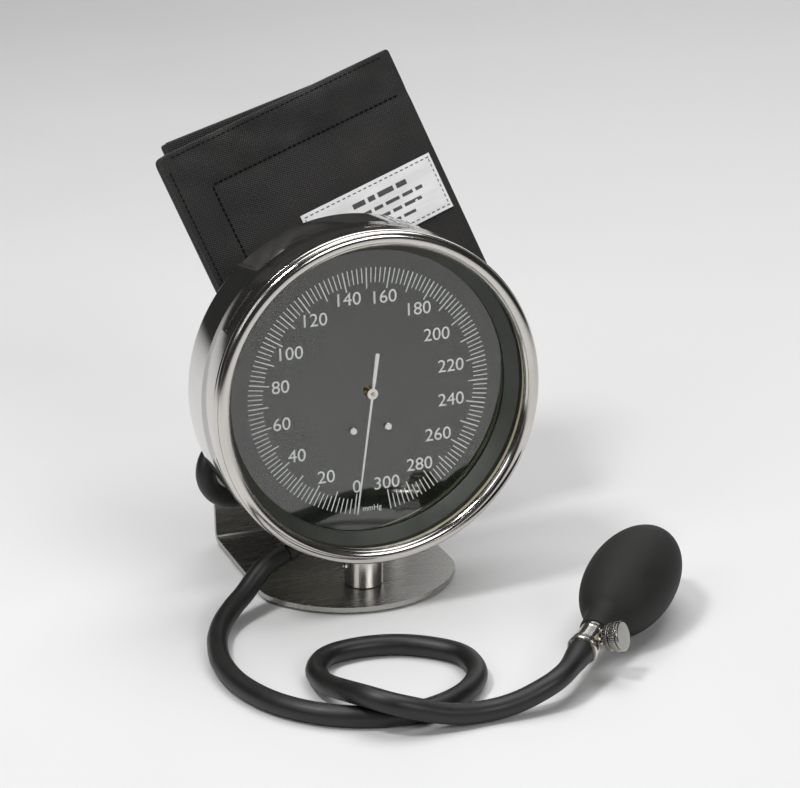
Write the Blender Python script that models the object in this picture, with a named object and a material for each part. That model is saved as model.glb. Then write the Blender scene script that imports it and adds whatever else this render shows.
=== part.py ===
"""Large-dial aneroid blood pressure monitor on a desk stand.

The stand is a bent steel plate with a short pole. The gauge head is clamped on the pole and leans
back a little. A folded arm cuff stands in a tray behind the gauge. One hose runs to the hand bulb
and its release valve, another to the cuff.

The origin is on the surface that the monitor stands on, under the pole. The dial faces -Y.
"""

import bmesh
import bpy
from math import acos, atan2, cos, pi, radians, sin, sqrt, tan
from mathutils import Matrix, Vector

MM = 0.001
GAP = 0.3 * MM

# Stand
PAD_THICKNESS = 1.2 * MM
SHEET = 2.5 * MM
PLATE_BOTTOM = PAD_THICKNESS + GAP
PLATE_TOP = PLATE_BOTTOM + SHEET
PLATE_HALF_WIDTH = 50.2 * MM
PLATE_FRONT_RADIUS = 54.2 * MM
PLATE_FRONT_CENTRE = 25.3 * MM
PLATE_CORNER_RADIUS = 20 * MM
BEND_START = 74.5 * MM
BEND_INNER_RADIUS = 3 * MM
PANEL_LEAN = radians(4.3)
PANEL_HEIGHT = 88 * MM
PAD_INSET = 3 * MM
POLE_RADIUS = 9.35 * MM
POLE_BORE = 6.9 * MM
POLE_BORE_BOTTOM = 10 * MM
SET_SCREW_HEIGHT = 14 * MM
SET_SCREW_RADIUS = 1.9 * MM

# Gauge head, in its own frame: x to the right, y to the rear, z up, origin at the dial's centre
HEAD_CENTRE = Vector((0, -9.1 * MM, 105.2 * MM))
HEAD_LEAN = radians(3.6)
BEZEL_RADIUS = 80.4 * MM
WINDOW_RADIUS = 73.1 * MM
CASE_RADIUS = 79.0 * MM
SLOT_TURN = 7
CASE_WALL = 1.5 * MM
CASE_FRONT = -4.0 * MM
CASE_REAR = 33.4 * MM
DIAL_RADIUS = 76.0 * MM
STEM_OFFSET = 14 * MM
STEM_RADIUS = 5.5 * MM
SCALE_SWEEP = radians(342.1)
POINTER_LENGTH = 59.3 * MM

# Movement
PINION_TEETH = 12
SECTOR_WHEEL_TEETH = 108
PINION_PITCH_RADIUS = 2.6 * MM
SECTOR_PITCH_RADIUS = PINION_PITCH_RADIUS * SECTOR_WHEEL_TEETH / PINION_TEETH
SECTOR_PIVOT = -(PINION_PITCH_RADIUS + SECTOR_PITCH_RADIUS)
SECTOR_PIN_RADIUS = 4 * MM
CRANK_PIVOT = Vector((0, 19 * MM, -39.5 * MM))
CAPSULE_CENTRE = -34.2 * MM

# Hoses
HOSE_DIAMETER = 9.8 * MM
CUFF_NIPPLE = Vector((-40 * MM, 33 * MM, -22 * MM))

# Cuff: the front face's frame leans back and is turned in its own plane
CUFF_ORIGIN = Vector((0, 62 * MM, 110 * MM))
CUFF_LEAN = radians(20)
CUFF_TURN = radians(19.1)

# Bulb and valve: local z runs from the bulb's centre to the valve, local x along the knob
BULB_CENTRE = Vector((103.5 * MM, -81.6 * MM, 21.6 * MM))
BULB_AZIMUTH = radians(45.3)
BULB_TILT = radians(5)
BULB_RADIUS = 21.2 * MM
BULB_HALF_LENGTH = 42 * MM
BULB_WALL = 2.2 * MM
KNOB_ROLL = radians(18.5)
KNOB_STATION = 58.5 * MM

# The bulb hose's route, from the elbow under the case to the valve, in millimetres
BULB_HOSE_ROUTE = [
    (-39.7, 1.75, 24.5), (-45.2, 0, 22.9), (-50.7, -1.8, 21), (-57, -5, 16.8), (-64, -9.6, 12),
    (-71.5, -15, 8.6), (-80, -25, 6), (-87, -40, 5), (-92, -62, 5), (-91, -85, 5), (-83, -107, 5),
    (-69, -124, 5), (-51, -135, 5), (-31, -139.5, 5), (-13, -136, 5), (2, -127, 5), (12, -113, 5),
    (13, -95, 5), (3, -82, 5), (-12, -73, 5), (-29, -70, 5), (-45, -73, 5), (-54.5, -84, 5),
    (-56.8, -99, 6.4), (-56, -112, 9.5), (-53.8, -125, 13), (-49.6, -137, 15.4), (-42, -145, 14.6),
    (-33, -148.4, 12.2), (-23, -149.5, 8.8), (-13, -150, 6.4), (-3, -149.6, 5.2), (7, -149.6, 5.3),
    (17, -150, 7.2), (27, -149.4, 10.2), (35.6, -147.4, 12.8), (43.8, -141.9, 14.3),
    (54.7, -130.9, 15.5),
]

# The cuff hose's route, from the nipple in the case's back to the cuff's left edge
CUFF_HOSE_ROUTE = [
    (-40, 28.2, 80.8), (-40.2, 34.5, 80.3), (-44, 40, 77.8), (-51.4, 43, 73.4), (-59, 42.6, 67.8),
    (-64.8, 40.4, 61.6), (-66.6, 38.9, 54.4), (-64.2, 38.6, 47.2), (-58.4, 38.9, 42.2), (-51, 40.6, 40.9),
    (-44.4, 44, 43.8), (-41, 48.4, 49.4), (-40.2, 53, 56), (-41, 57.4, 62.8), (-41.4, 61.2, 69.4),
    (-39.4, 63.4, 75.4), (-35.2, 64.7, 79.2), (-29.8, 65.4, 80.9),
]


# ---------------------------------------------------------------- helpers

def clear_scene():
    for obj in list(bpy.data.objects):
        bpy.data.objects.remove(obj, do_unlink=True)


def make_material(name, colour, roughness, metallic):
    material = bpy.data.materials.new(name)
    material.use_nodes = True
    shader = material.node_tree.nodes["Principled BSDF"]
    shader.inputs["Base Color"].default_value = (*colour, 1)
    shader.inputs["Roughness"].default_value = roughness
    shader.inputs["Metallic"].default_value = metallic
    return material


STEEL = ((0.62, 0.61, 0.58), 0.22, 1.0)
BRUSHED = ((0.42, 0.41, 0.39), 0.38, 1.0)
BRASS = ((0.72, 0.55, 0.28), 0.32, 1.0)
RUBBER = ((0.02, 0.02, 0.02), 0.6, 0.0)
CLOTH = ((0.018, 0.017, 0.016), 0.85, 0.0)
DIAL_GREY = ((0.098, 0.104, 0.088), 0.55, 0.0)
WHITE = ((0.85, 0.85, 0.82), 0.45, 0.0)


def finish(obj, look, smooth=True):
    """Give an object its own material and its shading."""
    colour, roughness, metallic = look
    obj.data.materials.append(make_material(obj.name, colour, roughness, metallic))
    if smooth and obj.type == "MESH":
        obj.data.shade_smooth()
        obj.data.set_sharp_from_angle(angle=radians(32))
    return obj


def empty(name, parent=None, location=(0, 0, 0), rotation=(0, 0, 0)):
    obj = bpy.data.objects.new(name, None)
    bpy.context.collection.objects.link(obj)
    obj.parent = parent
    obj.location = location
    obj.rotation_euler = rotation
    return obj


def from_bmesh(name, bm, parent, location=(0, 0, 0), rotation=(0, 0, 0)):
    bmesh.ops.recalc_face_normals(bm, faces=bm.faces)
    mesh = bpy.data.meshes.new(name)
    bm.to_mesh(mesh)
    bm.free()
    obj = bpy.data.objects.new(name, mesh)
    bpy.context.collection.objects.link(obj)
    obj.parent = parent
    obj.location = location
    obj.rotation_euler = rotation
    return obj


AXES = {"X": Vector((1, 0, 0)), "Y": Vector((0, 1, 0)), "Z": Vector((0, 0, 1))}


def on_axis(axis, radius, along):
    """A profile point at a radius from the axis and a distance along it."""
    if axis == "X":
        return Vector((along, 0, radius))
    if axis == "Y":
        return Vector((radius, along, 0))
    return Vector((radius, 0, along))


def turned(name, profile, axis, steps=32, closed=False, parent=None, **place):
    """Spin a profile of (radius, distance along the axis), in millimetres, into a solid."""
    bm = bmesh.new()
    verts = [bm.verts.new(on_axis(axis, r * MM, d * MM)) for r, d in profile]
    edges = [bm.edges.new(pair) for pair in zip(verts, verts[1:])]
    if closed:
        edges.append(bm.edges.new((verts[-1], verts[0])))
    bmesh.ops.spin(bm, geom=verts + edges, cent=(0, 0, 0), axis=AXES[axis], angle=2 * pi,
                   steps=steps, use_merge=True)
    bmesh.ops.remove_doubles(bm, verts=bm.verts, dist=1e-7)
    return from_bmesh(name, bm, parent, **place)


def prism(name, outline, plane, start, end, parent=None, **place):
    """Extrude an outline from start to end along the axis that its plane lacks."""
    spot = {
        "XY": lambda a, b: Vector((a, b, start)),
        "XZ": lambda a, b: Vector((a, start, b)),
        "YZ": lambda a, b: Vector((start, a, b)),
    }[plane]
    direction = {"XY": AXES["Z"], "XZ": AXES["Y"], "YZ": AXES["X"]}[plane]
    bm = bmesh.new()
    face = bm.faces.new([bm.verts.new(spot(a, b)) for a, b in outline])
    grown = bmesh.ops.extrude_face_region(bm, geom=[face])
    moved = [item for item in grown["geom"] if isinstance(item, bmesh.types.BMVert)]
    bmesh.ops.translate(bm, verts=moved, vec=direction * (end - start))
    return from_bmesh(name, bm, parent, **place)


def block(name, low, high, parent=None, **place):
    outline = [(low[0], low[1]), (high[0], low[1]), (high[0], high[1]), (low[0], high[1])]
    outline = [(x * MM, y * MM) for x, y in outline]
    return prism(name, outline, "XY", low[2] * MM, high[2] * MM, parent, **place)


def rod(name, radius, start, end, axis, steps=16, parent=None, **place):
    profile = [(0, start), (radius, start), (radius, end), (0, end)]
    return turned(name, profile, axis, steps, False, parent, **place)


def tool(obj):
    """Mark an object as a cutter or a body that is only joined to another."""
    obj.hide_render = True
    obj.display_type = "WIRE"
    return obj


def combine(target, other, operation="DIFFERENCE"):
    modifier = target.modifiers.new(operation.title(), "BOOLEAN")
    modifier.operation = operation
    modifier.solver = "EXACT"
    modifier.object = tool(other)
    return target


def soften(obj, width, segments=2):
    modifier = obj.modifiers.new("Bevel", "BEVEL")
    modifier.width = width
    modifier.segments = segments
    modifier.limit_method = "ANGLE"
    modifier.angle_limit = radians(40)
    return obj


def arc(centre, radius, start, end, count):
    """Points of an arc, from angle start to angle end, both included."""
    steps = [start + (end - start) * i / (count - 1) for i in range(count)]
    return [(centre[0] + radius * cos(a), centre[1] + radius * sin(a)) for a in steps]


def sheet_outline(path, thickness):
    """Outline of a bent sheet: a path, and the same path moved to its left by the thickness."""
    points = [Vector(p) for p in path]
    moved = []
    for i, point in enumerate(points):
        before = (point - points[i - 1]).normalized() if i else None
        after = (points[i + 1] - point).normalized() if i + 1 < len(points) else None
        before = before or after
        after = after or before
        mitre = Vector((-before.y - after.y, before.x + after.x)).normalized()
        spread = mitre.dot(Vector((-before.y, before.x)))
        moved.append(point + mitre * (thickness / spread))
    return [tuple(p) for p in points] + [tuple(p) for p in reversed(moved)]


def smooth_route(points, spacing):
    """Points at an even spacing along a smooth curve through the route's own points."""
    route = [Vector(p) * MM for p in points]
    route = [route[0] * 2 - route[1]] + route + [route[-1] * 2 - route[-2]]
    fine = []
    for p0, p1, p2, p3 in zip(route, route[1:], route[2:], route[3:]):
        for step in range(20):
            t = step / 20
            fine.append(0.5 * (2 * p1 + (p2 - p0) * t + (2 * p0 - 5 * p1 + 4 * p2 - p3) * t ** 2
                               + (3 * p1 - p0 - 3 * p2 + p3) * t ** 3))
    fine.append(route[-2])
    lengths = [0.0]
    for a, b in zip(fine, fine[1:]):
        lengths.append(lengths[-1] + (b - a).length)
    count = round(lengths[-1] / spacing)
    spaced = []
    index = 0
    for k in range(count + 1):
        wanted = lengths[-1] * k / count
        while index + 2 < len(fine) and lengths[index + 1] < wanted:
            index += 1
        part = (wanted - lengths[index]) / (lengths[index + 1] - lengths[index])
        spaced.append(fine[index].lerp(fine[index + 1], part))
    return spaced


def tube(name, points, radius, resolution=2, radii=None, parent=None):
    """A round rod along a line of points, with flat ends."""
    curve = bpy.data.curves.new(name, "CURVE")
    curve.dimensions = "3D"
    curve.bevel_depth = radius
    curve.bevel_resolution = resolution
    curve.use_fill_caps = True
    spline = curve.splines.new("POLY")
    spline.points.add(len(points) - 1)
    for i, point in enumerate(points):
        spline.points[i].co = (*point, 1)
        spline.points[i].radius = radii[i] if radii else 1.0
    obj = bpy.data.objects.new(name, curve)
    bpy.context.collection.objects.link(obj)
    obj.parent = parent
    return obj


def as_mesh(obj):
    """The same body as a mesh object, so that a Boolean can take it."""
    mesh = bpy.data.meshes.new_from_object(obj.evaluated_get(bpy.context.evaluated_depsgraph_get()))
    solid = bpy.data.objects.new(obj.name + "_solid", mesh)
    bpy.context.collection.objects.link(solid)
    solid.parent = obj.parent
    bpy.data.objects.remove(obj, do_unlink=True)
    return solid


# ---------------------------------------------------------------- stand

def plate_outline(inset, rear):
    """Plan of the base plate: round front, rounded shoulders, straight sides."""
    half = PLATE_HALF_WIDTH - inset
    front = PLATE_FRONT_RADIUS - inset
    corner = PLATE_CORNER_RADIUS
    corner_x = half - corner
    reach = sqrt((front - corner) ** 2 - corner_x ** 2)
    turn = atan2(reach, corner_x)
    right = arc((0, PLATE_FRONT_CENTRE), front, -pi / 2, -turn, 13)
    right += arc((corner_x, PLATE_FRONT_CENTRE - reach), corner, -turn, 0, 6)[1:]
    left = [(-x, y) for x, y in reversed(right)][:-1]
    return left + right + [(half, rear), (-half, rear)]


def panel_front(height):
    """Y of the rear panel's front face at a height."""
    corner = BEND_START + BEND_INNER_RADIUS * tan((pi / 2 - PANEL_LEAN) / 2)
    return corner + (height - PLATE_TOP) * tan(PANEL_LEAN)


def build_stand():
    bend_centre = (BEND_START, PLATE_TOP + BEND_INNER_RADIUS)
    bend = arc(bend_centre, BEND_INNER_RADIUS, -pi / 2, -PANEL_LEAN, 6)
    top = Vector(bend[-1]) + PANEL_HEIGHT * Vector((sin(PANEL_LEAN), cos(PANEL_LEAN)))
    side = sheet_outline(reversed([(-50 * MM, PLATE_TOP)] + bend + [tuple(top)]), SHEET)
    plate = prism("base_plate", side, "YZ", -PLATE_HALF_WIDTH, PLATE_HALF_WIDTH)
    plan = prism("base_plan", plate_outline(0, 140 * MM), "XY", -10 * MM, 120 * MM)
    combine(plate, plan, "INTERSECT")
    sink = [(0, 1), (5, 1), (5, 1.9), (2.6, 4.3), (2.6, 5), (0, 5)]
    combine(plate, turned("bolt_sink", sink, "Z", 24))
    finish(plate, BRUSHED)

    pad = prism("base_pad", plate_outline(PAD_INSET, BEND_START), "XY", 0, PAD_THICKNESS)
    finish(pad, ((0.3, 0.3, 0.29), 0.9, 0.0), smooth=False)

    bottom = (PLATE_TOP + GAP) / MM
    shaft = POLE_RADIUS / MM
    bore = POLE_BORE / MM
    floor = POLE_BORE_BOTTOM / MM
    profile = [(2.4, bottom), (shaft - 0.4, bottom), (shaft, bottom + 0.4), (shaft, 30), (bore, 30),
               (bore, floor), (2.4, floor)]
    pole = turned("pole", profile, "Z", 32, closed=True)
    combine(pole, rod("case_relief", CASE_RADIUS / MM + 0.4, -10, 40, "Y", 96, parent=HEAD))
    combine(pole, rod("bezel_relief", BEZEL_RADIUS / MM + 0.4, -14, 8.4, "Y", 96, parent=HEAD))
    combine(pole, rod("set_screw_hole", 2.2, -12, 0, "X", 20, location=(0, 0, SET_SCREW_HEIGHT)))
    finish(pole, STEEL)

    bolt = turned("pole_bolt", [(0, 1.6), (4.6, 1.6), (4.6, 1.8), (2.1, 4.1), (2.1, 9.3), (0, 9.3)], "Z", 24)
    finish(bolt, STEEL)
    screw = turned("pole_set_screw", [(0, -11), (0.9, -11), (0.9, -10.3), (1.5, -10.3), (1.9, -10),
                                      (1.9, -7), (1.2, -6.3), (0, -6.3)], "X", 20,
                   location=(0, 0, SET_SCREW_HEIGHT))
    finish(screw, STEEL)


def build_tray():
    """A bent sheet that holds the cuff, screwed to the rear panel."""
    wall = 1.2 * MM
    floor_height = 50.3 * MM
    lip = (41.2 * MM, 62 * MM)
    top = 84 * MM
    back_top = (panel_front(top) - GAP - wall, top)
    back_foot = (panel_front(floor_height) - GAP - wall, floor_height + wall)
    inner = [back_top, back_foot, (lip[0] + wall, floor_height + wall), (lip[0] + wall, lip[1])]
    tray = prism("cuff_tray", sheet_outline(inner, wall), "YZ", -28 * MM, 36 * MM)
    for x in (-16, 24):
        seat = empty("tray_seat", None, (x * MM, panel_front(75 * MM), 75 * MM), (-PANEL_LEAN, 0, 0))
        combine(tray, rod("tray_hole", 1.9, -4, -0.1, "Y", 16, parent=seat))
        combine(bpy.data.objects["base_plate"], rod("panel_hole", 1.9, -0.2, 5, "Y", 16, parent=seat))
        profile = [(0, -3.6), (1.9, -3.5), (3.0, -2.7), (3.1, -1.8), (1.5, -1.8), (1.5, 2.4), (0, 2.4)]
        name = "tray_screw_left" if x < 0 else "tray_screw_right"
        finish(turned(name, profile, "Y", 20, parent=seat), STEEL)
    finish(tray, BRUSHED)


# ---------------------------------------------------------------- gauge head

def build_case():
    outer = CASE_RADIUS / MM
    inner = outer - CASE_WALL / MM
    front = CASE_FRONT / MM
    rear = CASE_REAR / MM
    profile = [(0, rear), (outer - 2.4, rear), (outer - 0.9, rear - 0.5), (outer - 0.2, rear - 1.4),
               (outer, rear - 2.4), (outer, front), (inner, front), (inner, rear - 3),
               (inner - 0.4, rear - 2), (inner - 1.5, rear - 1.5), (0, rear - 1.5)]
    case = turned("case_body", profile, "Y", 56, parent=HEAD)
    combine(case, rod("stem_hole", STEM_RADIUS / MM + 0.6, -90, -60, "Z", 24, parent=HEAD,
                      location=(0, STEM_OFFSET, 0)))
    combine(case, rod("bulb_nipple_hole", 4.6, 60, 90, "Z", 24, parent=ELBOW))
    combine(case, rod("cuff_nipple_hole", 4.6, -6, 6, "Y", 24, parent=HEAD, location=CUFF_NIPPLE))
    finish(case, STEEL)

    lip = WINDOW_RADIUS / MM
    ring = BEZEL_RADIUS / MM
    skirt = ring - 0.4
    profile = [(lip, -13.2), (lip + 0.2, -14.7), (lip + 1.3, -16.1), (lip + 3.4, -16.9),
               (ring - 1.9, -16.5), (ring - 0.5, -15.4), (ring, -13.8), (ring - 0.2, -12.2),
               (ring - 0.9, -11.2), (skirt, -10.6), (skirt, 7.6), (skirt - 0.3, 8.0), (79.3, 8.0),
               (79.3, -4.4), (76.5, -4.4), (76.5, -13.2)]
    bezel = turned("bezel_ring", profile, "Y", 56, closed=True, parent=HEAD)
    for turn in range(6):
        slot = empty("bayonet_turn", HEAD, rotation=(0, radians(SLOT_TURN + 60 * turn), 0))
        outline = arc((0, 0), 79.1 * MM, radians(82.2), radians(97.8), 5)
        outline += arc((0, 0), 82 * MM, radians(97.8), radians(82.2), 5)
        combine(bezel, prism("bayonet_slot", outline, "XZ", -4.2 * MM, -2.6 * MM, slot))
    finish(bezel, STEEL)

    glass = turned("window_glass", [(0, -8.4), (75.8, -8.4), (76, -8.2), (76, -6.4), (0, -6.4)], "Y", 48,
                   parent=HEAD)
    finish(glass, ((0.9, 0.95, 0.95), 0.03, 0.0))
    gasket = turned("window_gasket", [(74.4, -8.7), (73.4, -12.9), (76.1, -12.9), (76.1, -8.7)], "Y", 48,
                    closed=True, parent=HEAD)
    finish(gasket, ((0.66, 0.62, 0.46), 0.6, 0.0))
    spacer = turned("spacer_ring", [(76.1, -6.1), (73.8, -6.1), (68.4, -1.0), (68.4, -0.3), (76.1, -0.3)],
                    "Y", 48, closed=True, parent=HEAD)
    finish(spacer, ((0.05, 0.052, 0.047), 0.5, 0.0))


def build_dial():
    dial = turned("dial_plate", [(2.6, 0), (75.8, 0), (75.8, 1), (2.6, 1)], "Y", 48, closed=True,
                  parent=HEAD)
    finish(dial, DIAL_GREY)
    for name, x in (("dial_screw_left", -8.75), ("dial_screw_right", 8.75)):
        place = (x * MM, 0, -18 * MM)
        combine(dial, rod("dial_hole", 1.3, -1, 2, "Y", 16, parent=HEAD, location=place))
        combine(bpy.data.objects["movement_front_plate"],
                rod("plate_hole", 1.3, 3, 6, "Y", 16, parent=HEAD, location=place))
        profile = [(0, -1.5), (1.5, -1.4), (1.9, -1.0), (1.9, -0.3), (0.9, -0.3), (0.9, 5.6), (0, 5.6)]
        screw = turned(name, profile, "Y", 20, parent=HEAD, location=place)
        slot = block("screw_slot", (-3, -2, -0.25), (3, -0.9, 0.25), HEAD, location=place,
                     rotation=(0, radians(45), 0))
        combine(screw, slot)
        finish(screw, STEEL)


def build_pointer():
    """The pointer is drawn pointing up, and turned to the scale's zero."""
    zero = -SCALE_SWEEP / 2
    hub = 2.5 * MM
    needle = [(0.45 * MM, POINTER_LENGTH - 4 * MM), (0, POINTER_LENGTH)]
    needle += [(-0.45 * MM, POINTER_LENGTH - 4 * MM)]
    left = arc((0, 0), hub, radians(105), radians(255), 8)
    tail = [(-0.95 * MM, -19.6 * MM), (0.95 * MM, -19.6 * MM)]
    right = arc((0, 0), hub, radians(285), radians(435), 8)
    pointer = prism("pointer", needle + left + tail + right, "XZ", -4.6 * MM, -4 * MM, HEAD,
                    rotation=(0, zero, 0))
    combine(pointer, rod("pointer_bore", 1.05, -6, -2, "Y", 20, parent=HEAD))
    finish(pointer, WHITE)
    bush = turned("pointer_hub", [(1.05, -3.7), (1.7, -3.7), (2.1, -3.2), (2.1, -1.6), (1.05, -1.6)], "Y",
                  24, closed=True, parent=HEAD)
    finish(bush, BRASS)


def gear_outline(teeth, wheel_teeth, pitch_radius, first, closed):
    """Teeth of a gear as an outline, tooth by tooth clockwise from the angle of the first."""
    step = 2 * pi / wheel_teeth
    module = 2 * pitch_radius / wheel_teeth
    tip = pitch_radius + 0.85 * module
    root = pitch_radius - 1.15 * module
    outline = []
    for i in range(teeth):
        middle = first + i * step
        shape = ((root, -0.27), (tip, -0.10), (tip, 0.10), (root, 0.27))
        outline += [(r * sin(middle + part * step), r * cos(middle + part * step)) for r, part in shape]
    if closed:
        return outline
    return outline, root


def build_movement():
    plate = [(-15, -34), (15, -34), (15, 9), (-15, 9)]
    front = prism("movement_front_plate", [(x * MM, z * MM) for x, z in plate], "XZ", 4 * MM, 5.2 * MM,
                  HEAD)
    plate = [(-15, -61.7), (15, -61.7), (15, 9), (-15, 9)]
    rear = prism("movement_rear_plate", [(x * MM, z * MM) for x, z in plate], "XZ", 12.8 * MM, 14 * MM,
                 HEAD)
    arbor_radius = 0.8
    for plate_object, low, high in ((front, 3, 6), (rear, 12, 15)):
        combine(plate_object, rod("arbor_hole", arbor_radius + 0.06, low, high, "Y", 20, parent=HEAD))
    window = block("link_window", (-9, 11, -47), (7, 16, -30), HEAD)
    combine(rear, window)
    number = 1
    for x in (-12, 12):
        for z in (-31, 5):
            pillar = turned(f"movement_pillar_{number}", [(0, 5.5), (2, 5.5), (2, 12.5), (0, 12.5)], "Y",
                            16, parent=HEAD, location=(x * MM, 0, z * MM))
            finish(pillar, BRASS)
            number += 1

    arbor = rod("pinion_arbor", arbor_radius, -5.1, 13.8, "Y", 20, parent=HEAD)
    teeth = gear_outline(PINION_TEETH, PINION_TEETH, PINION_PITCH_RADIUS, pi, True)
    wheel = prism("pinion_teeth", teeth, "XZ", 7.2 * MM, 10 * MM, HEAD)
    combine(arbor, wheel, "UNION")
    finish(arbor, BRASS, smooth=False)

    step = 2 * pi / SECTOR_WHEEL_TEETH
    first = -1.5 * step
    count = 15
    outline, root = gear_outline(count, SECTOR_WHEEL_TEETH, SECTOR_PITCH_RADIUS, first, False)
    last = first + (count - 1) * step
    hub = 6.2 * MM
    outline.append((root * sin(last + step), root * cos(last + step)))
    outline += arc((0, 0), hub, pi / 2 - last, pi / 2 - last - radians(285), 16)
    outline.append((root * sin(first - step), root * cos(first - step)))
    pivot = (0, 0, SECTOR_PIVOT)
    sector = prism("sector_gear", outline, "XZ", 8 * MM, 9.2 * MM, HEAD, location=pivot)
    pin_angle = radians(19)
    pin_spot = Vector((-SECTOR_PIN_RADIUS * cos(pin_angle), 0, SECTOR_PIN_RADIUS * sin(pin_angle)))
    pin = rod("sector_pin", 0.8, 8.6, 11.6, "Y", 16, parent=HEAD, location=Vector(pivot) + pin_spot)
    combine(sector, pin, "UNION")
    combine(sector, rod("sector_bore", 1.05, 6, 12, "Y", 20, parent=HEAD, location=pivot))
    finish(sector, BRASS, smooth=False)
    shaft = turned("sector_arbor", [(0, 5.5), (1, 5.5), (1, 12.5), (0, 12.5)], "Y", 20, parent=HEAD,
                   location=pivot)
    finish(shaft, STEEL)

    upper = Vector(pivot) + pin_spot
    lower = CRANK_PIVOT.z - upper.z
    bar = 1.3 * MM
    eye = 2.2 * MM
    link_outline = arc((0, 0), eye, radians(-54), radians(234), 14)
    link_outline += arc((0, lower), eye, radians(126), radians(414), 14)
    link = prism("link", link_outline, "XZ", 9.7 * MM, 10.9 * MM, HEAD, location=upper)
    combine(link, rod("link_upper_hole", 1.2, 9, 12, "Y", 20, parent=HEAD, location=upper))
    slot = [(-1.2 * MM, lower - bar), (1.2 * MM, lower - bar), (1.2 * MM, lower + bar),
            (-1.2 * MM, lower + bar)]
    combine(link, prism("link_slot", slot, "XZ", 9 * MM, 12 * MM, HEAD, location=upper))
    finish(link, STEEL, smooth=False)

    coils = 4
    turns = [(coils * 2 * pi * i / 48, 2.2 + 5.6 * i / 48) for i in range(49)]
    path = [Vector((r * cos(a) * MM, 6.2 * MM, r * sin(a) * MM)) for a, r in turns]
    hair = tube("hairspring", path, 0.16 * MM, 0, parent=HEAD)
    finish(hair, STEEL)


def build_crank():
    crank = rod("bell_crank", 1.6, -5.5, 2, "X", 20, parent=HEAD, location=CRANK_PIVOT)
    upright = block("crank_upright", (-1, -0.8, 1.1), (1, 0.8, 5.6), HEAD, location=CRANK_PIVOT)
    arm_x = -SECTOR_PIN_RADIUS * cos(radians(19))
    arm = rod("crank_arm", 0.7, -10, -1, "Y", 16, parent=HEAD, location=CRANK_PIVOT + Vector((arm_x, 0, 0)))
    combine(crank, upright, "UNION")
    combine(crank, arm, "UNION")
    combine(crank, rod("crank_bore", 0.86, -8, 5, "X", 20, parent=HEAD, location=CRANK_PIVOT))
    finish(crank, BRASS)
    pin = rod("crank_pin", 0.8, -8.5, 5, "X", 16, parent=HEAD, location=CRANK_PIVOT)
    finish(pin, STEEL)
    for name, low, high in (("crank_ear_left", -7.4, -6.2), ("crank_ear_right", 2.7, 3.9)):
        ear = block(name, (low, -4.7, -9.5), (high, 1.2, 2.2), HEAD, location=CRANK_PIVOT)
        combine(ear, rod("ear_hole", 0.86, -10, 6, "X", 20, parent=HEAD, location=CRANK_PIVOT))
        finish(ear, BRASS)


def build_capsule():
    place = (0, 0, CAPSULE_CENTRE)
    profile = [(0, 20.1), (0.6, 20.1), (0.6, 22.1), (4, 22.3), (8, 22.9), (12, 22.5), (16, 23.3),
               (20, 24.2), (20, 25.0), (16, 24.1), (12, 23.3), (8, 23.7), (4, 23.1), (0, 23.1)]
    finish(turned("capsule_front", profile, "Y", 24, parent=HEAD, location=place), BRASS)
    profile = [(0, 27.4), (4, 27.4), (8, 26.8), (12, 27.2), (16, 26.4), (20, 25.3), (20, 26.1),
               (16, 27.2), (12, 28.0), (8, 27.6), (4, 28.2), (0, 28.2)]
    finish(turned("capsule_rear", profile, "Y", 24, parent=HEAD, location=place), BRASS)
    stud = turned("capsule_stud", [(0, 28.5), (3, 28.5), (3, 31.1), (0, 31.1)], "Y", 20, parent=HEAD,
                  location=place)
    finish(stud, BRASS)
    path = [(8, 16.5, -61.6), (8, 17.5, -59.4), (8.4, 21.5, -58), (8.8, 26.5, -57.4), (8.6, 29.4, -54.6),
            (7.6, 30, -49), (6, 30, -43), (4.2, 29.9, -37.6)]
    pipe = tube("pressure_pipe", smooth_route(path, 2.6 * MM), 0.8 * MM, 2, parent=HEAD)
    finish(pipe, BRASS)


def build_connections():
    """The brass block in the case, the stem down into the pole and the two hose nipples."""
    socket = block("socket_block", (-14, 6, -73), (14, 22, -62), HEAD)
    finish(soften(socket, 0.6 * MM, 1), BRASS)
    stem = turned("gauge_stem", [(0, -93.2), (4.9, -93.2), (5.5, -92.6), (5.5, -73.3), (0, -73.3)], "Z",
                  24, parent=HEAD, location=(0, STEM_OFFSET, 0))
    finish(stem, BRASS)

    shank = turned("bulb_hose_nipple", [(0, 74.6), (4.2, 74.6), (4.2, 79.4), (6.6, 79.4), (6.6, 80.9),
                                        (5.1, 81.3), (5.1, 82), (0, 82)], "Z", 24, parent=ELBOW)
    bend = [(0, 0, 80.5), (0.1, 0, 82.6), (1.1, -0.2, 84.9), (3.0, -0.8, 87.0), (5.1, -1.6, 88.8)]
    elbow = tube("elbow_bend", smooth_route(bend, 2.2 * MM), 5.2 * MM, 4, parent=ELBOW)
    combine(shank, as_mesh(elbow), "UNION")
    finish(shank, ((0.015, 0.015, 0.015), 0.25, 0.0))

    profile = [(0, -3), (4.2, -3), (4.2, 0.7), (6.6, 0.7), (6.6, 2.4), (4.9, 2.8), (4.9, 5.4), (0, 5.4)]
    nipple = turned("cuff_hose_nipple", profile, "Y", 24, parent=HEAD, location=CUFF_NIPPLE)
    finish(nipple, ((0.015, 0.015, 0.015), 0.25, 0.0))


# ---------------------------------------------------------------- hoses

def build_hoses():
    points = smooth_route(BULB_HOSE_ROUTE, 1.1 * HOSE_DIAMETER)
    radii = [1.0] * len(points)
    radii[-1] = 1.26
    radii[-2] = 1.16
    hose = tube("bulb_hose", points, HOSE_DIAMETER / 2, 2, radii)
    finish(hose, RUBBER)
    points = smooth_route(CUFF_HOSE_ROUTE, 0.6 * HOSE_DIAMETER)
    finish(tube("cuff_hose", points, HOSE_DIAMETER / 2, 2), RUBBER)


# ---------------------------------------------------------------- cuff

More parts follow.
